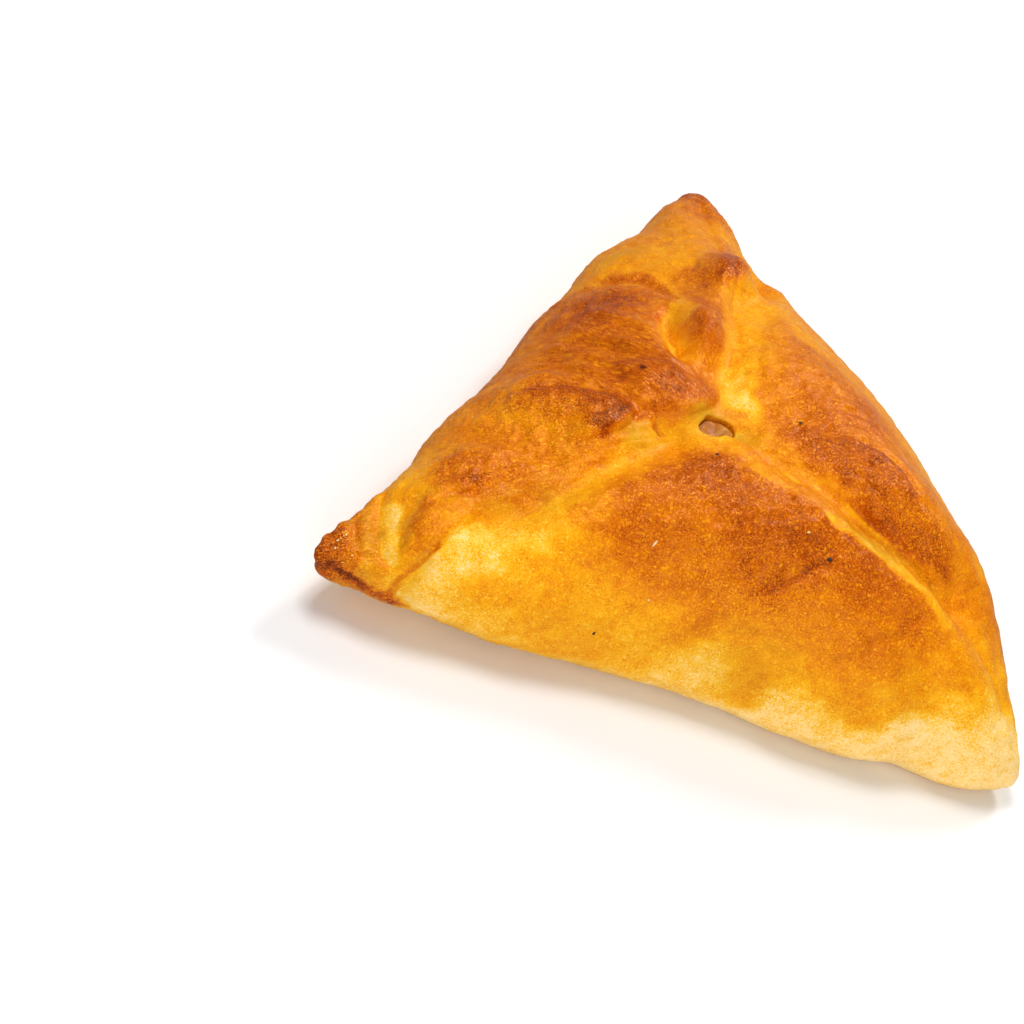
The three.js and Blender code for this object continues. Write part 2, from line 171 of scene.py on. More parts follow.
# How brown the crust is, painted in layers: 0 is pale dough, 1 is dark brown, over 1 is scorched. A few
# layers are painted light instead: shade under the nose, sheen on the crest under the ledge and on the right
# contour, and a glint before the nose
Oval = namedtuple("Oval", "name at half turn browning weight")
Stroke = namedtuple("Stroke", "name start past end half browning weight")
Hem = namedtuple("Hem", "name start past end reach browning weight")
BAKE = (
    Oval("right side", (32, 9), (32, 20), -60, 0.6, 0.95),
    Oval("left flank", (-36, 6), (9, 26), -30, 0.58, 0.95),
    Oval("top corner", (-6, 52), (14, 17), -10, 0.55, 0.95),
    Oval("top corner tip", (1, 69), (7, 8), 0, 0.82, 0.9),
    Oval("top corner end", (2, 75), (7, 5), 0, 0.9, 0.9),
    Oval("top corner, olive patch", (-5, 65), (3, 4), 0, 0.74, 0.6),
    Oval("top corner, left spots", (-18, 44), (5, 3), 30, 0.52, 0.7),
    Oval("top corner, pale patch", (-9, 44), (5, 5), 20, 0.44, 0.8),
    Oval("beside the front flap", (-26, -28), (10, 9), 10, 0.44, 0.9),
    Oval("front flap", (6, -27), (32, 9.5), -6, 0.89, 1),
    Oval("front flap top", (-7.6, -17.2), (8.5, 6.6), 30, 1, 1),
    Oval("front flap, left part", (-14.6, -28.2), (9.4, 7.4), 20, 0.85, 0.95),
    Oval("front flap, right end", (29, -29.6), (11, 5), -14, 0.82, 0.95),
    Oval("front flap, darker band", (4.4, -22.8), (20, 5), -12, 1, 0.85),
    Oval("front flap, low on the right", (29, -35.6), (6.4, 3), -14, 0.78, 0.85),
    Oval("front flap, lower fringe", (10, -36.6), (26, 3), -4, 0.74, 0.7),
    Oval("front flap, yellow spot", (9, -40), (7, 3.5), 0, 0.46, 0.8),
    Oval("left flap", (-24, 17), (9.5, 16), 12, 0.85, 1),
    Oval("left flap, far end", (-22.5, 25), (7, 6), 0, 1, 0.9),
    Oval("left flap, end at the pocket", (-16.4, 20), (3.6, 5), 0, 0.8, 0.9),
    Oval("left flap, middle", (-27, 7), (13, 9), -15, 0.8, 0.95),
    Oval("left flap, tongue", (-15, 2), (11, 6.4), -20, 0.97, 1),
    Oval("left flap, tongue's lower edge", (-15.4, -3.2), (6.2, 3), -4, 0.88, 0.9),
    Oval("left flap, tongue end", (-8.4, 2.6), (3.4, 5.4), 0, 0.84, 0.9),
    Oval("left flap, lower part", (-39, -14.6), (13, 7.4), -32, 0.7, 0.9),
    Oval("left flap, under the nose", (-27, -15.5), (5.5, 3), -15, 0.66, 0.85),
    Oval("left flap, nose", (-30.3, -5.6), (12, 6.4), -22, 0.76, 1),
    Stroke("left flap, top of the nose", (-35, -2.4), (-31, -1.2), (-26, -4), 2.4, 0.98, 0.9),
    Oval("left flap, nose end", (-24.8, -7), (4.8, 5), -30, 1, 0.95),
    # partly golden dough, partly a painted glint: a lighter patch on the flap before the nose
    Oval("left flap, light patch before the nose", (-38, -8), (3.8, 2.6), -10, 0.5, 0.8),
    Oval("left flap, foot", (-46, -22.5), (7, 6.5), -40, 0.84, 0.95),
    Oval("foot, dark spot", (-45.4, -23.4), (2.8, 2), 20, 1.1, 0.9),
    Oval("foot, upper end", (-38.4, -21.4), (7, 4), -24, 0.85, 0.9),
    Oval("right flap", (14.8, 1), (14, 11), -30, 0.84, 0.95),
    Oval("right flap, hump", (19.6, -7.4), (13.2, 6.8), -26, 0.9, 1),
    Oval("right flap, dark part of the hump", (22.8, -10.4), (3.8, 2.6), -30, 1.02, 0.85),
    Oval("right flap, near end", (31, -15), (9, 4.2), -24, 0.88, 0.95),
    Oval("right flap, near the seam", (13.8, -7.8), (6.4, 3.6), -35, 1, 0.9),
    Stroke("skin beside the hump", (17, -2), (29.5, -2.4), (32.4, -13), 1.5, 0.62, 0.7),
    Stroke("brow of the hump", (17.6, -5.4), (26.4, -5.6), (27.4, -12), 1.8, 0.98, 0.85),
    Oval("right flap, far part", (12, 12.6), (7.4, 14), 10, 0.76, 0.9),
    Oval("right shoulder", (46, -15), (15, 9), -50, 0.6, 0.9),
    # painted sheen: a lighter band along the right contour, over the sheen that the bright wall of the room
    # gives
    Stroke("right contour", (14, 26), (33, 9), (48, -13), 5, 0.38, 0.8),
    Oval("right corner, golden part", (52, -29.4), (11, 5), -15, 0.38, 0.9),
    Stroke("ledge", (-20.6, 35), (-14, 39), (-11.4, 27.6), 1.8, 0.84, 0.95),
    Stroke("end of the ledge", (-12, 34), (-10.8, 30), (-11.5, 25), 0.7, 0.78, 0.8),
    # painted sheen: the crest under the ledge is painted a little lighter than the flap round it
    Stroke("crest under the ledge", (-25, 32), (-17.6, 35), (-13.2, 24), 1.8, 0.8, 0.9),
    Stroke("top ridge", (-7, 36), (-5.5, 28), (-6.5, 14), 3.2, 0.7, 0.9),
    Oval("lump", (-6.4, 19.8), (3.9, 7.4), -6, 0.85, 0.95),
    Oval("lump, dark spot", (-8.2, 17.4), (2.2, 3.4), 10, 0.94, 0.7),
    Oval("between lump and tongue", (-6, 9.2), (2, 2.6), 0, 0.64, 0.85),
    Oval("pale pocket", (-12.4, 13.8), (2.2, 4.8), 12, 0.2, 0.95),
    Stroke("pocket top", (-12.2, 24), (-12.6, 20), (-13.2, 16), 0.9, 0.3, 0.85),
    Stroke("top seam", (-1.5, 3), (0.6, 18), (3.4, 36), 2.8, 0.38, 0.9),
    Oval("knob, far side", (3, 48), (3.4, 7), -30, 0.72, 0.8),
    Oval("knob", (-2.4, 38.4), (3.8, 7.6), -16, 0.9, 0.95),
    Oval("knob, dark side", (-1, 37.6), (2.2, 4.8), -18, 1.08, 0.95),
    Oval("top seam, cream part", (-1.2, 4.6), (3, 6), -8, 0.16, 0.95),
    Oval("golden dough beside the right seam", (8, -13.6), (9, 4), -42, 0.6, 0.9),
    Stroke("right seam", (-1, -7), (12, -19), (34, -22.6), 1.8, 0.58, 0.95),
    Stroke("right seam, bright part", (15.8, -21.2), (21, -23.4), (31, -23.4), 1.2, 0.28, 0.9),
    Stroke("right seam, far end", (28, -23.6), (34, -25.8), (41, -28.6), 1.5, 0.3, 0.8),
    Oval("first flake of dough on the right seam", (14.6, -20.8), (1.5, 0.8), -35, 0.12, 0.85),
    Oval("second flake of dough on the right seam", (8.6, -13.2), (2.4, 0.8), -40, 0.2, 0.85),
    Oval("third flake of dough on the right seam", (5, -12.4), (2.6, 0.8), -50, 0.22, 0.85),
    Oval("fourth flake of dough on the right seam", (22.6, -22.6), (2.6, 0.9), -20, 0.08, 0.8),
    Hem("lip of the right flap", (16.6, -14.2), (26.4, -21.2), (43, -20.6), 3.4, 1.02, 0.95),
    Hem("upper edge of the front flap", (29, -27.6), (11.8, -23.3), (-2.5, -13.2), 4.5, 0.9, 0.85),
    Stroke("left seam", (-8, -7.6), (-20, -8.6), (-21, -17), 1.8, 0.34, 0.95),
    Oval("golden dough over the front flap", (-12.7, -10.8), (3.4, 2.2), 30, 0.56, 0.8),
    Stroke("shade under the nose", (-29, -12.6), (-21, -14.4), (-18.4, -4), 1.3, 0.56, 0.9),
    Stroke("left seam, lower part", (-21, -15.6), (-26, -22.4), (-36, -31), 1.9, 0.3, 0.9),
    Oval("dark end of the nose", (-23.6, -5.6), (4.4, 4), -30, 1.02, 0.9),
    Oval("upper corner of the nose end", (-20.6, -4.6), (2.8, 2.6), -20, 1, 0.9),
    Oval("lower edge of the tongue", (-18, -5.6), (3.3, 2), -8, 0.92, 0.9),
    Oval("hook of the nose", (-25.6, -10.6), (3.6, 2), -12, 1.2, 0.95),
    # partly dark baked crust, partly painted shade: the underside and under-edge of the nose's overhanging
    # end are painted darker than the nose
    Oval("underside of the nose end", (-22.8, -9.2), (2.3, 1.7), 20, 1.14, 0.9),
    Hem("under-edge of the nose", (-28.8, -9.6), (-22.4, -12), (-19.4, -3.2), 1.7, 1.14, 0.95),
    Oval("under the hump", (20.2, -12.8), (5.4, 2.8), -34, 1, 0.9),
    Oval("golden dough beside the left fold", (-39.4, -34.8), (8.6, 6.2), 10, 0.2, 0.95),
    Oval("pale dough beside the left fold", (-44.6, -37.8), (8, 5), 28, 0.05, 0.95),
    Oval("cream patch beside the left fold", (-33.6, -33.4), (3, 1.8), 0, 0.12, 0.8),
    Oval("golden dough low on the front flap", (-17, -39.6), (16, 2.8), 0, 0.34, 0.8),
    Oval("pale dough low on the front flap", (1, -40.6), (8, 2.3), 0, 0.1, 0.8),
    Oval("golden spot in the pale dough", (-31, -36.5), (2.4, 1.5), 0, 0.46, 0.7),
    Oval("round the vent", (-4.6, -5), (6.4, 3.9), 8, 0.28, 0.95),
    Oval("cream dough beside the vent", (0.6, 0.4), (2.4, 3.2), 6, 0.08, 0.75),
    Stroke("olive rim of the vent", (-9.5, -5), (-6, -0.5), (0, -1.6), 0.8, 0.58, 0.8),
    Oval("notch beside the vent", (-0.9, -3.2), (1.4, 1), -10, 0.5, 0.8),
    Oval("left corner, flank", (-54, -21), (3.4, 9), -14, 0.4, 0.9),
    Stroke("collar, pale crest", (-57, -30), (-57.4, -34), (-55.4, -38.8), 1.8, 0.06, 0.9),
    Hem("left corner cap, hem", (-54.4, -41.9), (-60.8, -35), (-57.9, -25.5), 3.5, 0.64, 0.85),
    Stroke("left corner cap, golden streak", (-60.4, -31), (-60.6, -35.5), (-58.4, -40), 0.8, 0.48, 0.7),
    Hem("collar, brown layer", (-51.6, -26.5), (-55.5, -34), (-51.4, -40.4), 4.5, 0.76, 0.9),
    Stroke("collar, golden patch", (-49.6, -29), (-51.4, -32.5), (-51, -36), 1.1, 0.56, 0.7),
    Stroke("pointed piece of the foot", (-48, -31), (-46.8, -28.5), (-45.2, -25.8), 0.9, 0.66, 0.8),
    Oval("left corner cap", (-64, -36), (7, 7.5), 30, 0.68, 0.95),
    Oval("left corner tip", (-66.5, -38), (4, 4), 30, 1, 0.9),
    Stroke("left corner, brown band", (-62, -30), (-62.5, -35), (-61, -40.5), 1, 0.78, 0.85),
    Oval("right corner tip", (60.6, -40.4), (10, 6.2), -24, -0.04, 0.9),
    Oval("right corner, cream front", (48, -43), (14, 3.6), 6, 0, 0.6),
    Hem("edge of the left fold", (-53.8, -41.9), (-48.6, -37.2), (-42.6, -27.6), 2, 0.58, 0.75),
    Stroke("crack under the left fold", (-53.6, -41.8), (-51.4, -40.4), (-48.8, -37.4), 0.35, 0.88, 0.75),
    Stroke("shade of the pocket crease", (-10.6, 10.2), (-11.6, 14), (-13, 21), 0.35, 0.8, 0.45),
    Oval("pit in the tongue", (-19.6, 3.3), (0.7, 0.55), 0, 1.45, 1),
    Oval("pit in the foot", (-45.1, -23.8), (0.8, 0.9), 0, 1.2, 1),
    Stroke("slit beside the nose", (-16.4, -6.9), (-15.2, -7.3), (-14, -8), 0.32, 0.86, 0.8),
    Stroke("mark in the front flap", (2.5, -25), (4, -24.5), (4, -26.5), 0.6, 1.02, 0.8),
    Oval("light patch over the front dent", (9, -29.8), (5, 1.8), -12, 0.76, 0.8),
    Oval("light patch under the front dent", (15.6, -33.6), (5, 2), -14, 0.66, 0.8),
    Stroke("mark in the front dent", (17, -27.2), (14, -29), (12.5, -30), 0.6, 1.08, 0.85),
    Stroke("second mark in the front dent", (11.6, -30.8), (8, -32.2), (4.5, -34), 0.7, 1.02, 0.85),
)
BASE_BROWNING = 0.42

# Tone by height under the painted layers: golden sides over a cream lower edge
Zone = namedtuple("Zone", "top front_rise ease weight")
GOLDEN_ZONE = Zone(13, 6, 8, 0.9)
CREAM_ZONE = Zone(9, 6.5, 9, 0.95)
SIDE_TONE = 0.4
FRONT_TONE = 0.33
FRONT_STARTS = 20  # in front of the middle
FRONT_EASE = 10
LEFT_CREAM = 0.2
RIGHT_CREAM = -0.04
CREAM_STARTS = -45  # from here to the right the left cream turns into the right one
CREAM_SPAN = 80
CORNER_RISE = 7.5  # climb of the cream zone at the right corner
CORNER_STARTS = 25
CORNER_SPAN = 22
PAINT_ENDS = 8  # height under which the painted layers fade out
PAINT_EASE = 4
UNDERSIDE_TONE = 0.5
UNDERSIDE_EASE = 0.8

# Edges of the painted layers
OVAL_FLATNESS = 1.3
SMALL_OVAL = 2.5
STROKE_POWER = 4
HEM_SOFT = 0.3  # half width of a hem's sharp side
HEM_BEND = 0.35  # share of the bending noise that a hem follows
HEM_FADE = 0.15
BROAD_RAGGEDNESS = 0.16
FINE_RAGGEDNESS = 0.08
BREAK_SPAN = 0.9  # share over which a ragged edge rises
BREAK_REACH = 8  # how soon islands end outside a layer
SCAR_REACH = 1.2  # width of a scar's tone against its groove
SCAR_POWER = 4

# Where the dough has an olive tint: its own colour in places, and painted shade round the vent and under the
# nose
Patch = namedtuple("Patch", "name at half turn weight")
OLIVE = (
    # painted shade round the vent, as an olive tint
    Patch("round the vent", (-7, -3), (4.5, 3), 25, 0.8),
    Patch("beside the notch", (0, -5.6), (2.6, 1.8), -20, 0.7),
    # painted shade under the nose, as an olive tint
    Patch("under the nose", (-19, -9), (4, 3.4), -40, 0.6),
    Patch("right seam", (24, -21.6), (8, 1.6), -6, 0.6),
    Patch("low on the front flap", (9, -39.5), (8, 4), 0, 0.2),
    Patch("beside the foot", (-36, -25), (7, 3), 25, 0.5),
    Patch("pocket", (-13, 20), (0.9, 4), 5, 0.3),
    Patch("left corner cap", (-61.5, -35), (5, 6), 20, 0.6),
    Patch("end of the left fold", (-51, -40), (3, 2), 40, 0.5),
    Patch("spots of the top corner", (-17, 45), (5, 2.4), 30, 0.4),
)
OLIVE_BELOW_TONE = 0.85
OLIVE_TONE_EASE = 0.3
OLIVE_ABOVE = 6
OLIVE_EASE = 6

# Where the crust is rough and blistered
CRUSTY = (
    Patch("nose", (-33, -7), (11, 6), -20, 1),
    Patch("foot", (-45, -21), (7, 7), 0, 0.7),
    Patch("left corner tip", (-64, -37), (7, 7), 0, 1),
    Patch("near end of the right flap", (33, -16), (8, 4), -24, 0.8),
    Patch("front flap", (6, -33), (13, 4), -6, 0.5),
)

# Noise that makes the crust uneven: size in millimetres, its own seed, layers and strength
Cloud = namedtuple("Cloud", "size seed layers by")
PAINT_WANDER_X = Cloud(6, 0, 3, 0.9)
PAINT_WANDER_Y = Cloud(6, 3, 3, 0.9)
OLIVE_WANDER_X = Cloud(4, 70, 3, 0.8)
OLIVE_WANDER_Y = Cloud(4, 73, 3, 0.8)
ZONE_WANDER = Cloud(9, 5, 3, 3)
ISLANDS = Cloud(4, 17, 4, 1)
BROAD_TONES = Cloud(12, 23, 2, 0.08)
MIDDLE_TONES = Cloud(8, 27, 2, 0.05)
FINE_TONES = Cloud(3, 21, 3, 0.06)
SCAR_TONES = Cloud(1.5, 9, 2, 0.5)
SCAR_DEPTHS = Cloud(1.5, 9, 2, 0.6)
SCAR_DEPTH_LEVEL = 0.8
BROAD_LUMPS = Cloud(13, 50, 2, 1)
SMALL_LUMPS = Cloud(5, 51, 2, 0.4)
SKIN_GRAIN = Cloud(1.6, 60, 2, 1)
FILLING_LUMPS = Cloud(2.4, 80, 2, 0.3)
FLOW_BEND = Cloud(8, 40, 2, 1.2)

# Wrinkles: how they run on each side, the oval that they fill, their seed and their strength
Flow = namedtuple("Flow", "name run at half turn seed by")
FLOWS = (
    Flow("left", -40, (-23, 9), (16, 15), -20, 41, 1),
    Flow("right", -60, (37, 5), (27, 12), -60, 43, 0.8),
)
FLOW_STRETCH = 3
FLOW_FLATNESS = 2
WRINKLE_SIZE = 2.2
WRINKLE_SEED = 44
PLAIN_WRINKLES = 0.7  # strength outside the two flows
PALE_DEPTH = 0.45  # depth on pale dough, and what brown and crusty dough add
BROWN_DEPTH = 0.55
CRUSTY_DEPTH = 0.6
BROWN_FROM = 0.3
BROWN_EASE = 0.5
RIDGE_HEIGHT = 2.4
RIDGE_DETAIL = 0.4
RIDGE_SEED = 5

# Numbers that scatter the values on the lattice of the noise
HASH_PRIMES = (73856093, 19349663, 83492791)
HASH_SEED = 2654435761
HASH_MASK = 0x7FFFFFFF
HASH_ROUNDS = ((13, 1274126177), (15, 668265263))
SEED_SHIFT = 0.37
LATTICE_SHIFT = 1000
LAYER_SEED = 11

# Specks and flakes lying on the crust: place, half sizes and turn
Bit = namedtuple("Bit", "name at half turn")
SPECKS = (
    Bit("speck below the vent", (-5, -11.7), (0.42, 0.3), -20),
    Bit("speck in the front dent", (15.8, -27.7), (0.42, 0.34), 10),
    Bit("speck on the right flap", (9.1, -1.6), (0.3, 0.26), 0),
    Bit("speck on the front flap, left", (-18.2, -40), (0.3, 0.24), 30),
    Bit("speck beside the tongue", (-17.5, -1), (0.26, 0.2), 0),
    Bit("speck on the front flap", (-7.2, -14.5), (0.24, 0.2), 0),
)
FLAKES = (
    Bit("flake on the front flap", (-13.9, -30.4), (0.7, 0.2), 55),
    Bit("flake low on the front flap", (-11.8, -36.6), (0.25, 0.2), 0),
    Bit("flake on the seam", (10.9, -25), (0.3, 0.2), 20),
    Bit("flake above the vent", (-5.7, -0.1), (0.35, 0.25), 10),
    Bit("flake by the front edge", (-25.8, -41.2), (0.5, 0.25), 10),
    Bit("crumb on the left corner", (-64.9, -37.5), (0.34, 0.16), 40),
    Bit("second crumb on the left corner", (-65.2, -39.3), (0.24, 0.16), 70),
    Bit("third crumb on the left corner", (-63.7, -36.2), (0.28, 0.14), 100),
    Bit("fourth crumb on the left corner", (-62.2, -39.8), (0.2, 0.14), 10),
    Bit("fifth crumb on the left corner", (-59.4, -40.4), (0.24, 0.14), 50),
    Bit("crumb on the collar", (-54.9, -35.3), (0.4, 0.22), 80),
    Bit("crumb at the right lip", (32.3, -18.1), (0.5, 0.35), 0),
)
SPECK_THICKNESS = 0.5
SPECK_LIGHTER = 4  # the second shade against the first
SPECK_ROUGHNESS = 0.6
FLAKE_THICKNESS = 0.4
FLAKE_DARKER = 0.8
FLAKE_ROUGHNESS = 0.55
BIT_AROUND = 10
BIT_LATITUDES = (-60, -25, 10, 45, 72)
BIT_RAGGEDNESS = 0.3
SLOPE_STEP = 0.3

# Pillow, vent, hollow and filling, in millimetres
CROWN_LEAN = (0.4, -0.12)  # growth of the crown over half a side, to the right and to the back
RIM_POWER = 12
BROW_AT = 0.4  # where a step leans over, in half widths of its rise
BROW_SPREAD = 1.2
VENT_AT = (-4.8, -4.5)
VENT_TURN = 12
VentWave = namedtuple("VentWave", "count phase by")
VENT_WAVES = (VentWave(3, 0.8, 0.07), VentWave(5, 2, 0.05))
LIP_ROUND = 0.5
LIP_TONE = 0.7
VENT_WALL_TONE = 0.85
HOLLOW_TONE = 0.3
HOLLOW_INSET = 9
HOLLOW_SHARPNESS = 5
HOLLOW_FLOOR = 5
ROOF_BELOW_PILLOW = 9
UNDER_INSET = 7  # how far the base lies inside the edge
LIFTED_INSET = 18  # how much further under a corner that is lifted in full
LIFTED_BY = 6
FILLING_ROOM = 0.15
FILLING_BELOW_LIP = 0.6
MOUND = 0.4
MOUND_EASE = 0.3
SKIN_BASE_EASE = 3  # height over which the wrinkles begin
SKIN_VENT_ROWS = 10  # rows before the vent in which they end

# Points round each ring, and rows of rings
AROUND = 560
CROWD = 0.7
CROWD_SPREAD = 20
BASE_SHARES = (0.25, 0.55, 0.85)
UNDER_ROWS = 14
TOP_ROWS = 134
EDGE_CLOSENESS = 0.5
LIP_ROWS = 4
WALL_ROWS = 3
ROOF_ROWS = 6
FILLING_AROUND = 160
MOUND_ROWS = 16
MOUND_MIDDLE = 0.06
OUTLINE_POINTS = 7201
CAD_AROUND = 112  # edge points of the solid

# Noise of the finishes: cells for each metre, or each millimetre on a flow, layers and roughness
Grain = namedtuple("Grain", "scale detail roughness")
NET = Grain(1400, 2, 0.55)
DRAWN_NET = Grain(1.6, 2, 0.55)
FINE = Grain(3600, 2, 0.7)
PATCHES = Grain(480, 3, 0.6)
MEAT_LUMPS = Grain(420, 3, 0.55)
BIT_GRAIN = Grain(2500, 2, 0.55)

# Baked finish: strengths on the scale of the browning, gloss and relief
BROWN_SPAN = 1.5
NET_GAIN = 0.1  # the net grows with the browning, from the least strength
NET_LEAST = 0.42
# the net's colour is darker in its creases and lighter on its ridges: painted shade and highlight that follow
# its relief
NET_LEVEL = 0.06
NET_SHADE_AND_HIGHLIGHT = 2
PATCH_MOTTLE = 0.4
FINE_MOTTLE = 0.75
BROKEN_POWER = 2
BROKEN_GAIN = 4
FRECKLES_OVER = 0.63
FRECKLE_TONE = 1.4
# painted glints: specks where the fine noise is low are lightened in the colour of crusty crust, for small
# highlights
PAINTED_GLINTS_UNDER = 0.4
PAINTED_GLINT_TONE = 2.4
PALE_ROUGHNESS = 0.58
BROWN_GLOSS = 0.36
PATCH_ROUGHNESS = 0.3
GRAIN_RELIEF = 0.08
DOUGH_RELIEF = 0.3 * MM
GLOSS_TINT = (1, 0.46, 0.12, 1)

# Moist finish of the filling
FILLING_ROUGHNESS = 0.4
FILLING_SPECULAR = 0.25
FILLING_RELIEF = 0.5 * MM
FILLING_BUMP = 0.5

# Studio: lamp sizes, and places along the camera's right, up and back, in metres
Lamp = namedtuple("Lamp", "name power size at")
LAMPS = (
    Lamp("key_light", "key", 0.25, (0.1, 0.6, 0.55)),
    Lamp("fill_light", "fill", 0.7, (0.15, -0.45, 0.8)),
    Lamp("back_light", "rim", 0.25, (0.6, 0.75, 0.05)),
)
BRIGHT_WALL = (0.4, 0.2, -0.9)  # direction along the camera's right, up and back
WALL_FROM = 0.7
HORIZON_AT = 0.1
CEILING_AT = 0.8
FLOOR_HALF = 3
FLOOR_POINTS = 13
FLOOR_ROUGHNESS = 0.9
FLOOR_SPECULAR = 0.1
AIM_HEIGHT = 10  # millimetres above the floor
SENSOR = 36
NEAR_CLIP = 0.05
FAR_CLIP = 20


def colour(name, description, default):
    """Colour property with three channels."""
    return FloatVectorProperty(
        name=name, description=description, subtype="COLOR", size=3, min=0, max=1, default=default
    )


def length(name, description, millimetres):
    """Length property given in millimetres."""
    return FloatProperty(name=name, description=description, default=millimetres * MM, unit="LENGTH")


def angle(name, description, degrees):
    """Angle property given in degrees."""
    return FloatProperty(name=name, description=description, default=math.radians(degrees), subtype="ANGLE")


def power(name, description, watts):
    """Light power property in watts."""
    return FloatProperty(name=name, description=description, default=watts, min=0, unit="POWER")


def factor(name, description, default):
    """Share property between 0 and 1."""
    return FloatProperty(name=name, description=description, default=default, min=0, max=1, subtype="FACTOR")


class ParcelSizes(bpy.types.PropertyGroup):
    """Sizes of the folded parcel"""

    side: length("Side", "Corner to corner of the plan triangle", 130)
    crown: length("Crown", "Rise of the pillow above its rim", 28.5)
    rim: length("Rim height", "Height of the widest line above the base", 8)
    rim_thickness: length("Rim thickness", "Half thickness of the rolled rim", 5.2)
    sharpness: FloatProperty(
        name="Corner sharpness",
        description="Power of the blunt triangle, larger is sharper",
        default=15,
        min=2,
    )
    vent_long: length("Vent half length", "Half the long side of the vent", 3.4)
    vent_short: length("Vent half width", "Half the short side of the vent", 2.05)
    unevenness: length("Unevenness", "Depth of the broad hand-made lumps", 0.4)
    wrinkles: length("Wrinkles", "Depth of the wrinkles in the baked skin", 0.26)
    grain: length("Grain", "Depth of the fine baked grain", 0.1)
    seed: IntProperty(name="Seed", description="Seed of all uneven detail", default=7, min=0)


class CrustFinish(bpy.types.PropertyGroup):
    """Colours and gloss of the baked dough"""

    pale: colour("Pale dough", "Least baked dough", (1.0, 0.71, 0.29))
    yellow: colour("Yellow", "Lightly baked dough", (0.94, 0.52, 0.03))
    golden: colour("Golden", "Golden crust", (0.9, 0.4, 0.003))
    amber: colour("Amber", "Well baked crust", (0.82, 0.28, 0.002))
    orange: colour("Orange", "Deep golden crust", (0.72, 0.2, 0.002))
    brown: colour("Brown", "Browned crust", (0.62, 0.14, 0.002))
    dark: colour("Dark brown", "Darkest baked crust", (0.44, 0.07, 0.002))
    scorched: colour("Scorched", "Pits and torn edges", (0.09, 0.012, 0.003))
    gloss: factor("Egg wash", "Strength of the amber gloss", 0.5)
    # olive: partly the dough's own tint, partly painted shade round the vent and under the nose
    olive: colour("Olive", "Olive tint in seams and round the vent", (0.56, 0.3, 0.012))
    speck: colour("Specks", "Tiny charred specks", (0.012, 0.006, 0.004))
    flake: colour("Flakes", "Tiny pale flakes and crumbs", (0.95, 0.66, 0.3))


class FillingFinish(bpy.types.PropertyGroup):
    """Colours of the filling that shows at the vent"""

    meat: colour("Meat", "Cooked meat", (0.38, 0.11, 0.006))
    onion: colour("Onion", "Soft cooked onion", (0.52, 0.21, 0.02))


class StudioSettings(bpy.types.PropertyGroup):
    """Camera, floor and lights"""

    azimuth: angle("Camera azimuth", "Turn round the parcel, 0 looks along +Y", -21.8)
    elevation: angle("Camera elevation", "Angle above the floor", 44.7)
    roll: angle("Camera roll", "Turn of the picture", 32.4)
    distance: length("Camera distance", "From the parcel's middle", 700)
    across: length("Camera across", "Camera moved along the picture's width", -30.85)
    along: length("Camera along", "Camera moved along the picture's height", -2.74)
    lens: FloatProperty(name="Lens", description="Focal length on a 36 mm sensor", default=139.7, min=1)
    floor: colour("Floor", "Plain pale floor", (0.9, 0.9, 0.9))
    horizon: factor("Horizon light", "Strength of the room at the floor", 0.12)
    ceiling: factor("Ceiling light", "Strength of the room above", 0.42)
    sheen: factor("Sheen", "Strength of the room behind, seen as sheen", 0.3)
    key: power("Key light", "Power of the soft light above", 3.4)
    fill: power("Fill light", "Power of the soft light by the camera", 4.25)
    rim: power("Back light", "Power of the soft light behind", 3.6)


# Small shape functions

def gauss(q):
    """Bell curve: e to the power of minus q squared."""
    return np.exp(-q * q)


def smooth(t):
    """Smooth step: 3 t squared minus 2 t cubed, with t held between 0 and 1."""
    t = np.clip(t, 0, 1)
    return t * t * (3 - 2 * t)


def wrap(radians):
    """The same angle between minus pi and pi."""
    return np.angle(np.exp(1j * radians))


def mix(a, b, t):
    """Straight blend: a at t = 0 and b at t = 1."""
    return a + (b - a) * t


def along_across(x, y, turn):
    """Coordinates along a direction, which is given in degrees, and across it."""
    c, s = math.cos(math.radians(turn)), math.sin(math.radians(turn))
    return x * c + y * s, y * c - x * s


def lattice_noise(points, size, seed):
    """Value noise in space: a hashed value between -1 and 1 at each corner of a cubic lattice of the
    given size, blended across each cell with the smooth step 6 t^5 - 15 t^4 + 10 t^3."""
    q = points / size + SEED_SHIFT * seed + LATTICE_SHIFT
    cell = np.floor(q).astype(np.int64)
    f = q - cell
    u = f * f * f * (f * (f * 6 - 15) + 10)
    total = np.zeros(points.shape[:-1])
    for corner in np.ndindex(2, 2, 2):
        c = cell + np.array(corner)
        n = seed * HASH_SEED
        for axis, prime in enumerate(HASH_PRIMES):
            n = n ^ (c[..., axis] * prime)
        n = n & HASH_MASK
        for shift, scatter in HASH_ROUNDS:
            n = ((n ^ (n >> shift)) * scatter) & HASH_MASK
        weight = np.prod(np.where(np.array(corner) == 1, u, 1 - u), axis=-1)
        total = total + weight * (n / (HASH_MASK // 2) - 1)
    return total


def cloudy(points, size, seed, layers):
    """Sum of noise layers, each half the size and half the strength of the one before."""
    return sum(lattice_noise(points, size / 2**k, seed + LAYER_SEED * k) / 2**k for k in range(layers))


def ridged(points, size, seed):
    """Wrinkles: one minus 2.4 times the size of the noise, so that its zero lines stand up as ridges."""
    detail = RIDGE_DETAIL * lattice_noise(points, size / 2, seed + RIDGE_SEED)
    return 1 - RIDGE_HEIGHT * np.abs(lattice_noise(points, size, seed) + detail)


def curve_points(start, past, end, steps):
    """Points of a quadratic curve from its start past a handle to its end."""
    t = np.linspace(0, 1, steps + 1)[:, None]
    return (1 - t) ** 2 * np.array(start) + 2 * t * (1 - t) * np.array(past) + t * t * np.array(end)


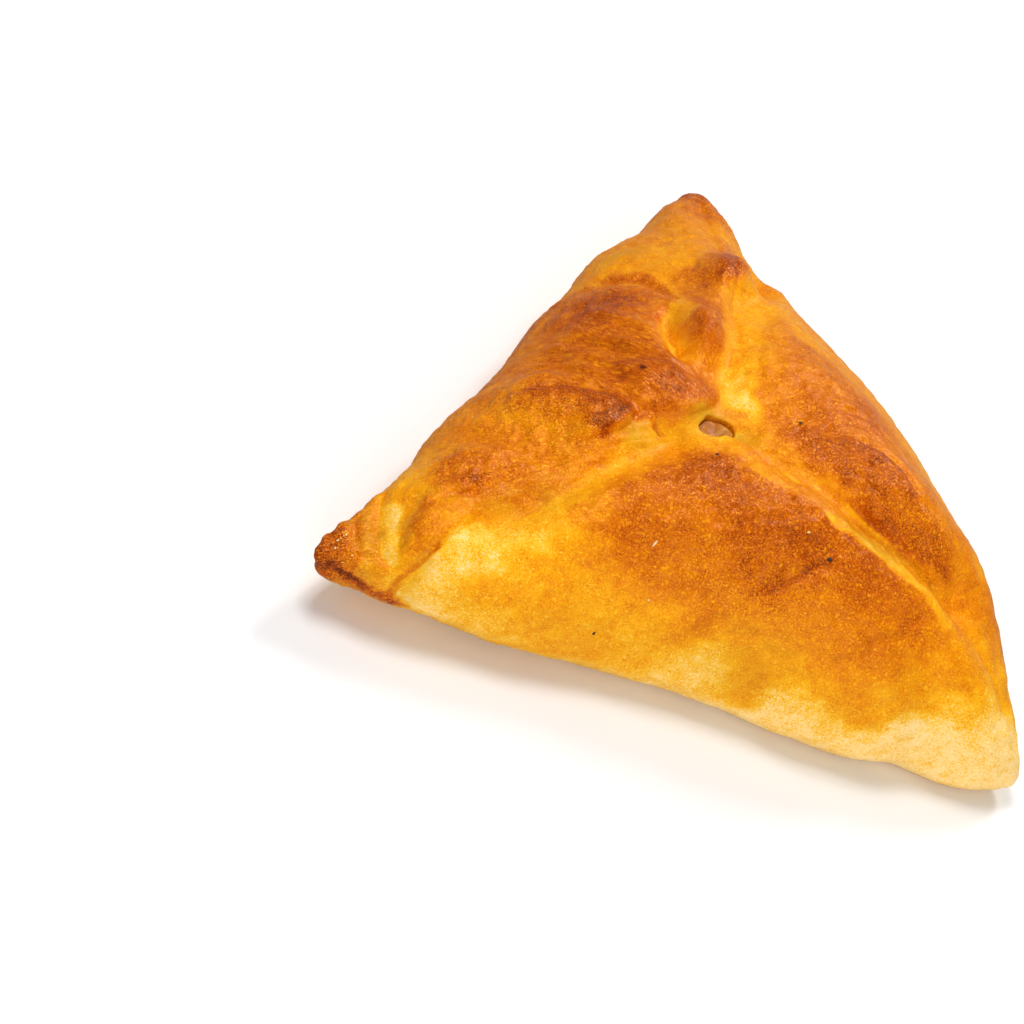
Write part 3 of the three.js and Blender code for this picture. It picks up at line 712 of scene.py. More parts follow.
def near_curve(x, y, line, steps=20):
    """Signed distance from a curve, positive on its left, the share of its length at the nearest point and
    the direction to its left there, found on its straight steps."""
    p = curve_points(line.start, line.past, line.end, steps)
    best = np.full(np.shape(x), np.inf)
    side, along, left_x, left_y = (np.zeros(np.shape(x)) for _ in range(4))
    for k in range(steps):
        dx, dy = p[k + 1] - p[k]
        span = math.hypot(dx, dy)
        s = np.clip(((x - p[k, 0]) * dx + (y - p[k, 1]) * dy) / span**2, 0, 1)
        ex, ey = x - p[k, 0] - s * dx, y - p[k, 1] - s * dy
        away = np.hypot(ex, ey)
        nearer = away < best
        side = np.where(nearer, np.where(dx * ey - dy * ex < 0, -1.0, 1.0), side)
        along = np.where(nearer, (k + s) / steps, along)
        left_x = np.where(nearer, -dy / span, left_x)
        left_y = np.where(nearer, dx / span, left_y)
        best = np.minimum(best, away)
    return best * side, along, left_x, left_y


def near_path(points, line, steps=12):
    """Distance of points in space from a curve in space, found on its straight steps."""
    p = curve_points(line.start, line.past, line.end, steps)
    best = np.full(points.shape[:-1], np.inf)
    for k in range(steps):
        d = p[k + 1] - p[k]
        s = np.clip(((points - p[k]) @ d) / (d @ d), 0, 1)
        best = np.minimum(best, np.linalg.norm(points - p[k] - s[..., None] * d, axis=-1))
    return best


def fade_ends(along, fade):
    """Rises over the first share of a curve and falls over the last."""
    return smooth(along / fade) * smooth((1 - along) / fade)


def oval_share(x, y, oval, flat):
    """e to the power of minus q^flat, where q is the squared distance, in half sizes, from the centre of a
    turned oval."""
    along, across = along_across(x - oval.at[0], y - oval.at[1], oval.turn)
    q = (along / oval.half[0]) ** 2 + (across / oval.half[1]) ** 2
    return np.exp(-(q**flat))


def patch_share(x, y, patches):
    """Share of a group of ovals laid over each other: the largest of their weighted shares."""
    return np.max([p.weight * oval_share(x, y, p, 1) for p in patches], axis=0)


def layer_share(layer, x, y, wx, wy):
    """Share of one painted layer, at plan places and at places bent by noise, and the raggedness of its edge.
    An oval fades from its middle, a stroke from its curve, and a hem is sharp at its curve and fades on the
    curve's left."""
    if isinstance(layer, Oval):
        ragged = BROAD_RAGGEDNESS if min(layer.half) > SMALL_OVAL else FINE_RAGGEDNESS
        return oval_share(wx, wy, layer, OVAL_FLATNESS), ragged
    if isinstance(layer, Stroke):
        distance = near_curve(wx, wy, layer)[0]
        return np.exp(-((distance / layer.half) ** STROKE_POWER)), FINE_RAGGEDNESS
    distance, along, _, _ = near_curve(mix(x, wx, HEM_BEND), mix(y, wy, HEM_BEND), layer)
    share = smooth((distance + HEM_SOFT) / (2 * HEM_SOFT)) * fade_ends(along, HEM_FADE)
    return share * gauss(np.clip(distance, 0, None) / layer.reach), FINE_RAGGEDNESS


Edge = namedtuple("Edge", "out radius x y")


class Parcel:
    """Formulas of the parcel's surface, in millimetres about the middle of its triangle."""

    def __init__(self, sizes):
        """Takes the sizes over in millimetres."""
        self.half_side = sizes.side / MM / 2
        self.inradius = self.half_side / math.sqrt(3)
        self.crown = sizes.crown / MM
        self.rim = sizes.rim / MM
        self.rim_thickness = sizes.rim_thickness / MM
        self.sharpness = sizes.sharpness
        self.vent_half = (sizes.vent_long / MM, sizes.vent_short / MM)
        self.unevenness = sizes.unevenness / MM
        self.wrinkles = sizes.wrinkles / MM
        self.grain = sizes.grain / MM
        self.seed = sizes.seed

    def cloud(self, points, cloud):
        """One named kind of cloudy noise at the given points."""
        return cloud.by * cloudy(points, cloud.size, self.seed + cloud.seed, cloud.layers)

    def blunt_triangle(self, out, inset, sharpness):
        """Radius of a triangle with blunt corners: the power mean of the distances to its three edges."""
        total = 0
        for edge in EDGES:
            lean = np.clip(np.cos(out - math.radians(edge.out)), 0, None)
            total = total + (lean / (self.inradius + edge.bulge - inset)) ** sharpness
        return total ** (-1 / sharpness)

    def corner_share(self, out, key, spread):
        """Sum over the corners of one property times a bell curve of the angle away from the corner."""
        bells = [gauss(wrap(out - math.radians(c.out)) / math.radians(spread)) for c in CORNERS]
        return sum(getattr(c, key) * bell for c, bell in zip(CORNERS, bells))

    def outline(self, out):
        """Radius of the edge: the blunt triangle, plus the corners' reach, plus each wave's bell curve."""
        radius = self.blunt_triangle(out, 0, self.sharpness)
        radius = radius + self.corner_share(out, "reach", REACH_SPREAD)
        for wave in EDGE_WAVES:
            away = wrap(out - math.radians(wave.out)) / math.radians(wave.spread)
            radius = radius + wave.by * gauss(away)
        return radius

    def rim_height(self, out):
        """Height of the widest line: the rim height plus the lift of each corner."""
        return self.rim + self.corner_share(out, "lift", LIFT_SPREAD)

    def pillow(self, x, y):
        """Plain pillow: rim height plus the root of a sum. Its terms are crown squared times the product of
        the three edge distances, and rim thickness squared, which ends at the edge as a rounded rim."""
        out = np.arctan2(y, x)
        share = np.clip(np.hypot(x, y) / self.outline(out), 0, 1)
        leans = [np.cos(out - math.radians(edge.out)) for edge in EDGES]
        radius = share * self.inradius / np.max(leans, axis=0)
        product = 1
        for lean in leans:
            product = product * np.clip(1 - radius * lean / self.inradius, 0, None)
        crown = self.crown * (1 + (CROWN_LEAN[0] * x + CROWN_LEAN[1] * y) / self.half_side)
        thick = self.rim_thickness + share**2 * self.corner_share(out, "thin", THIN_SPREAD)
        rim = mix(self.rim, self.rim_height(out), share**2)
        return rim + np.sqrt(crown**2 * product + thick**2 * (1 - share**RIM_POWER))

    def room(self, x, y):
        """Distance to the edge, measured from the middle."""
        return np.clip(self.outline(np.arctan2(y, x)) - np.hypot(x, y), 0, None)

    def lines(self, x, y, grooves, steps):
        """Rise of grooves, which are bell curves of the distance from a curve, and of steps, which rise on
        the left of a curve and ease back."""
        z = 0
        for g in grooves:
            distance, along, _, _ = near_curve(x, y, g)
            z = z + g.rise * gauss(distance / g.half) * fade_ends(along, g.fade)
        for s in steps:
            distance, along, _, _ = near_curve(x, y, s)
            rise = smooth((distance + s.edge) / (2 * s.edge))
            back = gauss(np.clip(distance - s.edge, 0, None) / s.reach)
            z = z + s.rise * rise * back * fade_ends(along, s.fade)
        return z

    def height(self, x, y):
        """Baked top: the pillow, plus the broad relief, which fades over the last 10 mm before the edge,
        plus the finer relief, which fades over the last 2.5 mm."""
        room = self.room(x, y)
        broad = self.lines(x, y, GROOVES, STEPS)
        for s in SWELLINGS:
            broad = broad + s.rise * oval_share(x, y, s, s.flat)
        fine = self.lines(x, y, FINE_GROOVES, FINE_STEPS)
        return self.pillow(x, y) + broad * smooth(room / RELIEF_MARGIN) + fine * smooth(room / FINE_MARGIN)

    def overhang(self, x, y):
        """Sideways move that steepens the free edges: points near a step's brow move to its low side by a
        bell curve of the distance."""
        dx, dy = np.zeros_like(x), np.zeros_like(y)
        for s in STEPS + FINE_STEPS:
            if s.push:
                distance, along, left_x, left_y = near_curve(x, y, s)
                brow = gauss((distance - BROW_AT * s.edge) / (BROW_SPREAD * s.edge))
                move = s.push * brow * fade_ends(along, s.fade)
                dx, dy = dx - left_x * move, dy - left_y * move
        return dx, dy

    def flows(self, points):
        """For each flow, coordinates drawn out along its wrinkles and the share of its own oval: the run
        along the wrinkles is shortened to a third, and noise bends them."""
        x, y = points[..., 0], points[..., 1]
        bend = self.cloud(points, FLOW_BEND)
        for flow in FLOWS:
            along, across = along_across(x, y, flow.run)
            drawn = np.stack([along / FLOW_STRETCH, across + bend, np.zeros_like(x)], -1)
            yield flow, drawn, oval_share(x, y, flow, FLOW_FLATNESS)

    def skin(self, points, tone):
        """Move along the normal: ridged noise drawn out along each flow, deeper where the crust is brown or
        crusty, plus broad lumps, small lumps and fine grain."""
        wrinkle = PLAIN_WRINKLES * ridged(points, WRINKLE_SIZE, self.seed + WRINKLE_SEED)
        for flow, drawn, share in self.flows(points):
            wrinkle = mix(wrinkle, flow.by * ridged(drawn, WRINKLE_SIZE, self.seed + flow.seed), share)
        brown = smooth((tone - BROWN_FROM) / BROWN_EASE)
        crusty = self.crusty(points)
        depth = PALE_DEPTH + BROWN_DEPTH * brown + CRUSTY_DEPTH * crusty
        move = self.unevenness * (self.cloud(points, BROAD_LUMPS) + self.cloud(points, SMALL_LUMPS))
        move = move + self.wrinkles * wrinkle * depth
        return move + self.grain * self.cloud(points, SKIN_GRAIN) * (1 + crusty)

    def vent_ring(self, ex, ey, margin):
        """Points of the ragged oval vent's wall on the way to points of the edge, drawn in or out by a
        margin. Two waves round the oval make it ragged."""
        out = np.arctan2(ey - VENT_AT[1], ex - VENT_AT[0])
        a = out - math.radians(VENT_TURN)
        r = 1 / np.hypot(np.cos(a) / self.vent_half[0], np.sin(a) / self.vent_half[1])
        ragged = 1
        for wave in VENT_WAVES:
            ragged = ragged + wave.by * np.cos(wave.count * a + wave.phase)
        r = r * ragged + margin
        return VENT_AT[0] + r * np.cos(out), VENT_AT[1] + r * np.sin(out)

    def edge(self, count, crowd=0):
        """Points that cut the edge into equal lengths, from the running length of a fine polygon. A crowd
        over 0 draws them together towards the left corner."""
        fine = np.linspace(0, 2 * math.pi, OUTLINE_POINTS)
        r = self.outline(fine)
        x, y = r * np.cos(fine), r * np.sin(fine)
        away = wrap(fine - math.radians(CORNERS[0].out)) / math.radians(CROWD_SPREAD)
        steps = np.hypot(np.diff(x), np.diff(y)) * (1 + crowd * gauss(away))[1:]
        run = np.concatenate([[0], np.cumsum(steps)])
        out = np.interp(np.arange(count) / count * run[-1], run, fine)
        radius = self.outline(out)
        return Edge(out, radius, radius * np.cos(out), radius * np.sin(out))

    def hollow(self, edge, inset):
        """Places round the side of the hollow: a blunter triangle, drawn in from the edge."""
        radius = self.blunt_triangle(edge.out, inset, HOLLOW_SHARPNESS)
        return radius * np.cos(edge.out), radius * np.sin(edge.out)

    def plan_middle(self):
        """Middle of the plan's box over the solid's own edge points, which is the part's origin."""
        edge = self.edge(CAD_AROUND)
        return (edge.x.min() + edge.x.max()) / 2, (edge.y.min() + edge.y.max()) / 2

    def bare_tone(self, points):
        """Tone under the painted layers: the base tone with broad noise, then a golden zone and a cream zone
        that fade in with depth below their tops. Both tops stand higher on the front, and the cream one
        climbs towards the right corner."""
        x, y, z = points[..., 0], points[..., 1], points[..., 2]
        front = smooth((-FRONT_STARTS - y) / FRONT_EASE)
        depth = self.cloud(points, ZONE_WANDER) - z
        zone = GOLDEN_ZONE
        share = zone.weight * smooth((zone.top + zone.front_rise * front + depth) / zone.ease)
        tone = BASE_BROWNING + self.cloud(points, BROAD_TONES)
        tone = mix(tone, mix(SIDE_TONE, FRONT_TONE, front), share)
        zone = CREAM_ZONE
        rise = zone.front_rise + CORNER_RISE * smooth((x - CORNER_STARTS) / CORNER_SPAN)
        share = zone.weight * smooth((zone.top + rise * front + depth) / zone.ease)
        cream = mix(LEFT_CREAM, RIGHT_CREAM, smooth((x - CREAM_STARTS) / CREAM_SPAN))
        return mix(tone, mix(SIDE_TONE, cream, front), share)

    def browning(self, points):
        """How brown each point is: the bare tone, then the named layers painted in order above the lower
        edge, some of which are painted shade, some painted sheen and one a painted glint, then the scars and
        the plain underside. Noise bends the plan and roughens each share, so that the edges wander and break
        into islands."""
        x, y, z = points[..., 0], points[..., 1], points[..., 2]
        flat = np.stack([x, y, np.zeros_like(z)], -1)
        wx = x + self.cloud(flat, PAINT_WANDER_X)
        wy = y + self.cloud(flat, PAINT_WANDER_Y)
        islands = self.cloud(points, ISLANDS)
        above = 1 - smooth((PAINT_ENDS - z) / PAINT_EASE)
        tone = self.bare_tone(points)
        for layer in BAKE:
            share, ragged = layer_share(layer, x, y, wx, wy)
            broken = smooth(0.5 + (share - 0.5 + ragged * islands) / BREAK_SPAN)
            share = broken * np.minimum(1, share * BREAK_REACH)
            tone = mix(tone, layer.browning, layer.weight * share * above)
        crumble = 1 + self.cloud(points, SCAR_TONES)
        for scar in SCARS:
            away = near_path(points, scar) / (SCAR_REACH * scar.half * crumble)
            tone = mix(tone, scar.browning, np.exp(-(away**SCAR_POWER)))
        tone = mix(tone, UNDERSIDE_TONE, smooth((UNDERSIDE_EASE - z) / UNDERSIDE_EASE))
        return tone + self.cloud(points, FINE_TONES) + self.cloud(points, MIDDLE_TONES)

    def olive(self, points, tone):
        """Share of the olive tint, which round the vent and under the nose is painted shade: the named
        patches, bent by noise, on light dough above the lower edge.
        """
        wx = points[..., 0] + self.cloud(points, OLIVE_WANDER_X)
        wy = points[..., 1] + self.cloud(points, OLIVE_WANDER_Y)
        light = smooth((OLIVE_BELOW_TONE - tone) / OLIVE_TONE_EASE)
        return patch_share(wx, wy, OLIVE) * light * smooth((points[..., 2] - OLIVE_ABOVE) / OLIVE_EASE)

    def crusty(self, points):
        """Share of the rough, blistered crust: the named patches."""
        return patch_share(points[..., 0], points[..., 1], CRUSTY)


# Mesh making

def array_mesh(name, points, face_groups):
    """Mesh from an array of points in millimetres and arrays of faces, each array with one face size."""
    mesh = bpy.data.meshes.new(name)
    loops = np.concatenate([g.ravel() for g in face_groups]).astype(np.int32)
    sizes = np.concatenate([np.full(len(g), g.shape[1]) for g in face_groups]).astype(np.int32)
    mesh.vertices.add(len(points))
    mesh.vertices.foreach_set("co", (points * MM).astype(np.float32).ravel())
    mesh.loops.add(len(loops))
    mesh.loops.foreach_set("vertex_index", loops)
    mesh.polygons.add(len(sizes))
    mesh.polygons.foreach_set("loop_start", (np.cumsum(sizes) - sizes).astype(np.int32))
    mesh.polygons.foreach_set("use_smooth", np.ones(len(sizes), bool))
    mesh.update(calc_edges=True)
    if mesh.validate():
        raise RuntimeError(name + " has faces that are not valid")
    return mesh


def store(mesh, name, values):
    """Stores one number or one vector for each point of a mesh as an attribute."""
    vector = values.ndim == 2
    layer = mesh.attributes.new(name, "FLOAT_VECTOR" if vector else "FLOAT", "POINT")
    layer.data.foreach_set("vector" if vector else "value", values.astype(np.float32).ravel())


def ring(x, y, z):
    """One ring of points; z is an array or one height for all."""
    return np.stack([x, y, z + np.zeros_like(x)], -1)


def ring_faces(rings, around):
    """Faces of a closed run of rings with a point at each end: quads join ring k to ring k + 1, and triangles
    join the end points, which are the first and the last point."""
    grid = 1 + np.arange(rings * around).reshape(rings, around)
    turned = np.roll(grid, -1, axis=1)
    quads = np.stack([grid[:-1], turned[:-1], turned[1:], grid[1:]], -1).reshape(-1, 4)
    first = np.stack([np.zeros(around, int), turned[0], grid[0]], -1)
    last = np.stack([grid[-1], turned[-1], np.full(around, rings * around + 1)], -1)
    return quads, first, last


def ring_points(start, rings, end):
    """All points of a closed run of rings: the first end, the rings in order, the last end."""
    return np.concatenate([np.array([start]), rings.reshape(-1, 3), np.array([end])])


def grid_normals(points):
    """Unit normals of a closed run of rings: cross product of the steps around and along."""
    around = np.roll(points, -1, axis=1) - np.roll(points, 1, axis=1)
    along = np.gradient(points, axis=0)
    n = np.cross(around, along)
    return n / np.maximum(np.linalg.norm(n, axis=-1, keepdims=True), 1e-9)


def centred(points, parcel):
    """Points moved from the triangle's middle to the part's origin."""
    return points - np.array([*parcel.plan_middle(), 0])


def add_piece(name, mesh, node, material):
    """Puts a finished mesh into the scene as a piece that rides on the part and may stand for a node."""
    piece = bpy.data.objects.new(name, mesh)
    bpy.context.scene.collection.objects.link(piece)
    mesh.materials.append(material)
    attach(piece, "root")
    if node:
        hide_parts(node)


# Materials

class Shading:
    """Node tree of a material or of the room, with short ways to add and join its nodes."""

    def __init__(self, tree):
        """Keeps the tree's nodes and links."""
        self.nodes, self.links = tree.nodes, tree.links

    def place(self):
        """Object coordinates of the piece."""
        return self.nodes.new("ShaderNodeTexCoord").outputs["Object"]

    def attribute(self, name, output="Fac"):
        """A mesh attribute, as a number or as the named output."""
        node = self.nodes.new("ShaderNodeAttribute")
        node.attribute_name = name
        return node.outputs[output]

    def noise(self, where, grain):
        """Noise texture between 0 and 1 on the given coordinates."""
        node = self.nodes.new("ShaderNodeTexNoise")
        node.inputs["Scale"].default_value = grain.scale
        node.inputs["Detail"].default_value = grain.detail
        node.inputs["Roughness"].default_value = grain.roughness
        self.links.new(where, node.inputs["Vector"])
        return node.outputs["Fac"]

    def maths(self, operation, a, b=0):
        """One arithmetic node; a and b are outputs or numbers."""
        node = self.nodes.new("ShaderNodeMath")
        node.operation = operation
        for socket, value in zip(node.inputs, (a, b)):
            if isinstance(value, (int, float)):
                socket.default_value = value
            else:
                self.links.new(value, socket)
        return node.outputs[0]

    def plus(self, a, b):
        """a plus b."""
        return self.maths("ADD", a, b)

    def minus(self, a, b):
        """a minus b."""
        return self.maths("SUBTRACT", a, b)

    def times(self, a, b):
        """a times b."""
        return self.maths("MULTIPLY", a, b)

    def over(self, a, b):
        """How far a is over b, and 0 where it is under."""
        return self.maths("MAXIMUM", self.minus(a, b), 0)

    def spread(self, noise, by):
        """Noise moved to lie about 0 and scaled."""
        return self.times(self.minus(noise, 0.5), by)

    def ramp(self, value, stops):
        """Colour ramp through (position, colour) stops."""
        node = self.nodes.new("ShaderNodeValToRGB")
        band = node.color_ramp
        band.elements.remove(band.elements[1])
        band.elements[0].position = stops[0][0]
        band.elements[0].color = (*stops[0][1], 1)
        for position, shade in stops[1:]:
            band.elements.new(position).color = (*shade, 1)
        self.links.new(value, node.inputs[0])
        return node.outputs["Color"]

    def bump(self, shader, height, distance, strength):
        """Fine relief in the shading from a height."""
        node = self.nodes.new("ShaderNodeBump")
        node.inputs["Strength"].default_value = strength
        node.inputs["Distance"].default_value = distance
        self.links.new(height, node.inputs["Height"])
        self.links.new(node.outputs[0], shader.inputs["Normal"])


def new_material(name):
    """Node material that holds only its output and shader."""
    material = bpy.data.materials.new(name)
    material.use_nodes = True
    shading = Shading(material.node_tree)
    shading.nodes.clear()
    output = shading.nodes.new("ShaderNodeOutputMaterial")
    shader = shading.nodes.new("ShaderNodeBsdfPrincipled")
    shading.links.new(shader.outputs[0], output.inputs["Surface"])
    return material, shading, shader


def baked_colour(shading, value, finish):
    """Colour of the crust: a ramp through its shades by the browning, mixed with olive where that shows,
    which is partly painted shade.
    """
    shades = (
        (0, finish.pale),
        (0.2, finish.yellow),
        (0.33, finish.golden),
        (0.5, finish.amber),
        (0.65, finish.orange),
        (0.8, finish.brown),
        (1, finish.dark),
        (1.35, finish.scorched),
    )
    stops = [(at / BROWN_SPAN, shade) for at, shade in shades]
    tint = shading.nodes.new("ShaderNodeMix")
    tint.data_type = "RGBA"
    tint.inputs["B"].default_value = (*finish.olive, 1)
    shading.links.new(shading.attribute("olive"), tint.inputs["Factor"])
    shading.links.new(shading.ramp(shading.maths("DIVIDE", value, BROWN_SPAN), stops), tint.inputs["A"])
    return tint.outputs["Result"]


def baked_dough(finish):
    """Egg-washed baked dough: colour from the browning with a net of fine mottling drawn out along the flows,
    which is darker in the net's creases and lighter on its ridges as painted shade and highlight, patches,
    freckles and painted glints, which are lighter specks on crusty crust, amber gloss that grows with the
    browning, and a fine relief that breaks the gloss into glints."""
    material, shading, shader = new_material("baked_dough")
    where = shading.place()
    tone, crusty = shading.attribute("browning"), shading.attribute("crusty")
    net = shading.noise(where, NET)
    for flow in FLOWS:
        drawn = shading.noise(shading.attribute(flow.name + "_flow", "Vector"), DRAWN_NET)
        change = shading.times(shading.minus(drawn, net), shading.attribute(flow.name + "_share"))
        net = shading.plus(net, change)
    fine = shading.noise(where, FINE)
    patches = shading.noise(where, PATCHES)
    broken = shading.times(shading.maths("POWER", patches, BROKEN_POWER), BROKEN_GAIN)
    rough = shading.times(shading.plus(crusty, 1), broken)
    deep = shading.maths("MAXIMUM", shading.plus(tone, NET_GAIN), NET_LEAST)
    cells = shading.maths("ABSOLUTE", shading.minus(net, 0.5))
    cells = shading.times(cells, shading.maths("MINIMUM", deep, 1))
    # painted shade and highlight: the colour darkens in the net's creases, where its relief is low, and
    # lightens on its ridges
    mottle_and_painted_light = shading.times(shading.minus(NET_LEVEL, cells), NET_SHADE_AND_HIGHLIGHT)
    mottle_and_painted_light = shading.plus(mottle_and_painted_light, shading.spread(patches, PATCH_MOTTLE))
    mottle_and_painted_light = shading.plus(mottle_and_painted_light, shading.times(shading.spread(fine, FINE_MOTTLE), rough))
    freckles = shading.times(shading.over(fine, FRECKLES_OVER), shading.times(tone, FRECKLE_TONE))
    # painted glints: lighter specks in the colour where the crust is crusty
    painted_glints = shading.times(shading.times(shading.over(PAINTED_GLINTS_UNDER, fine), crusty), broken)
    value = shading.plus(shading.plus(tone, mottle_and_painted_light), freckles)
    value = shading.minus(value, shading.times(painted_glints, PAINTED_GLINT_TONE))
    shading.links.new(baked_colour(shading, value, finish), shader.inputs["Base Color"])
    dull = shading.minus(PALE_ROUGHNESS, shading.times(tone, BROWN_GLOSS))
    dull = shading.plus(dull, shading.spread(patches, PATCH_ROUGHNESS))
    shading.links.new(dull, shader.inputs["Roughness"])
    shader.inputs["Specular IOR Level"].default_value = finish.gloss
    shader.inputs["Specular Tint"].default_value = GLOSS_TINT
    grain = shading.times(shading.times(fine, GRAIN_RELIEF), rough)
    shading.bump(shader, shading.plus(cells, grain), DOUGH_RELIEF, 1)
    return material


def moist_filling(finish):
    """Cooked meat and onion: two tones in soft cells, moist gloss, small lumps in the relief."""
    material, shading, shader = new_material("moist_filling")
    lumps = shading.noise(shading.place(), MEAT_LUMPS)
    base = shading.ramp(lumps, ((0.38, finish.meat), (0.55, finish.onion)))
    shading.links.new(base, shader.inputs["Base Color"])
    shader.inputs["Roughness"].default_value = FILLING_ROUGHNESS
    shader.inputs["Specular IOR Level"].default_value = FILLING_SPECULAR
    shading.bump(shader, lumps, FILLING_RELIEF, FILLING_BUMP)
    return material


def bit_finish(name, shade, times, roughness):
    """Finish of specks or flakes: noise leads from one shade to a second one, which is that shade multiplied
    and so lighter or darker."""
    material, shading, shader = new_material(name)
    grain = shading.noise(shading.place(), BIT_GRAIN)
    second = tuple(min(1, times * c) for c in shade)
    base = shading.ramp(grain, ((0.4, shade), (0.65, second)))
    shading.links.new(base, shader.inputs["Base Color"])
    shader.inputs["Roughness"].default_value = roughness
    return material


# Pieces

def under_rings(parcel, edge):
    """Rings of the flat base and of the rolled under-edge, which is a quarter ellipse from the base up to the
    widest line. It is drawn in further where a corner is lifted."""
    rim = parcel.rim_height(edge.out)
    inset = UNDER_INSET + LIFTED_INSET * np.clip((rim - parcel.rim) / LIFTED_BY, 0, 1)
    rings = []
    for share in BASE_SHARES:
        k = (1 - inset / edge.radius) * share
        rings.append(ring(edge.x * k, edge.y * k, 0))
    for turn in np.linspace(math.pi / 2, 0, UNDER_ROWS, endpoint=False):
        k = 1 - inset * (1 - math.cos(turn)) / edge.radius
        rings.append(ring(edge.x * k, edge.y * k, rim * (1 - math.sin(turn))))
    return np.array(rings)


def outer_rings(parcel, edge):
    """Rings from the base to the vent's lip, with their tone. The top's rows run from the edge to the lip,
    closer together at the edge, and their height is the baked top. The free edges then lean over, and
    wrinkles, grain and scars move each point along the surface normal, but not at the base or the lip."""
    vx, vy = parcel.vent_ring(edge.x, edge.y, LIP_ROUND)
    v = np.linspace(1, 0, TOP_ROWS)[:, None]
    t = mix(v, np.sin(v * math.pi / 2), EDGE_CLOSENESS)
    x, y = mix(vx, edge.x, t), mix(vy, edge.y, t)
    lean_x, lean_y = parcel.overhang(x, y)
    top = ring(x + lean_x, y + lean_y, parcel.height(x, y))
    outer = np.concatenate([under_rings(parcel, edge), top])
    tone = parcel.browning(outer)
    move = parcel.skin(outer, tone)
    crumble = SCAR_DEPTH_LEVEL + parcel.cloud(outer, SCAR_DEPTHS)
    for scar in SCARS:
        move = move - scar.depth * gauss(near_path(outer, scar) / scar.half) * crumble
    move = move * smooth(outer[..., 2] / SKIN_BASE_EASE)
    move[-TOP_ROWS:] *= smooth(np.arange(TOP_ROWS)[::-1] / SKIN_VENT_ROWS)[:, None]
    outer = outer + grid_normals(outer) * move[..., None]
    outer[..., 2] = np.maximum(outer[..., 2], 0)
    return outer, tone


def inner_rings(parcel, edge, lip, lip_tone):
    """Rings from the lip round its edge, which is a quarter circle, down the vent's wall and along the roof
    and side of the hollow, with their tone."""
    lx, ly = parcel.vent_ring(edge.x, edge.y, 0)
    hx, hy = parcel.hollow(edge, HOLLOW_INSET)
    roof = parcel.pillow(lx, ly) - ROOF_BELOW_PILLOW
    rings = []
    for turn in np.linspace(0, math.pi / 2, LIP_ROWS + 1)[1:]:
        k, drop = math.sin(turn), LIP_ROUND * (1 - math.cos(turn))
        rings.append(ring(mix(lip[:, 0], lx, k), mix(lip[:, 1], ly, k), lip[:, 2] - drop))
    for k in np.linspace(0, 1, WALL_ROWS + 1)[1:]:
        rings.append(ring(lx, ly, mix(lip[:, 2] - LIP_ROUND, roof, k)))
    for k in np.linspace(0, 1, ROOF_ROWS)[1:]:
        px, py = mix(lx, hx, k), mix(ly, hy, k)
        rings.append(ring(px, py, parcel.pillow(px, py) - ROOF_BELOW_PILLOW))
    rings.append(ring(hx, hy, HOLLOW_FLOOR))
    tone = np.full((len(rings), len(lx)), HOLLOW_TONE)
    tone[:LIP_ROWS] = mix(lip_tone, LIP_TONE, np.linspace(0, 1, LIP_ROWS)[:, None] ** 2)
    tone[LIP_ROWS : LIP_ROWS + WALL_ROWS] = VENT_WALL_TONE
    return np.array(rings), tone


def crust_surface(parcel):
    """All rings of the crust, from the base over the baked top to the vent and round the hollow."""
    edge = parcel.edge(AROUND, CROWD)
    outer, outer_tone = outer_rings(parcel, edge)
    inner, inner_tone = inner_rings(parcel, edge, outer[-1], outer_tone[-1])
    return np.concatenate([outer, inner]), np.concatenate([outer_tone, inner_tone])


def filling_surface(parcel):
    """Rings of the filling: floor, side, roof just under the dough, and a lumpy mound in the vent whose
    height falls off with the square of the distance from its middle."""
    edge = parcel.edge(FILLING_AROUND)
    hx, hy = parcel.hollow(edge, HOLLOW_INSET + 2 * FILLING_ROOM)
    lx, ly = parcel.vent_ring(edge.x, edge.y, -FILLING_ROOM)
    rings = [ring(hx, hy, HOLLOW_FLOOR + FILLING_ROOM)]
    for k in np.linspace(1, 0, ROOF_ROWS):
        px, py = mix(lx, hx, k), mix(ly, hy, k)
        rings.append(ring(px, py, parcel.pillow(px, py) - ROOF_BELOW_PILLOW - 2 * FILLING_ROOM))
    top = float(parcel.height(np.array(VENT_AT[0]), np.array(VENT_AT[1]))) - FILLING_BELOW_LIP
    for k in np.linspace(1, MOUND_MIDDLE, MOUND_ROWS):
        px, py = mix(VENT_AT[0], lx, k), mix(VENT_AT[1], ly, k)
        lumps = parcel.cloud(ring(px, py, 0), FILLING_LUMPS) * smooth((1 - k) / MOUND_EASE)
        rings.append(ring(px, py, top - MOUND * k * k + lumps))
    return np.array(rings)


def unit(vectors):
    """Vectors divided by their lengths."""
    return vectors / np.linalg.norm(vectors, axis=-1, keepdims=True)


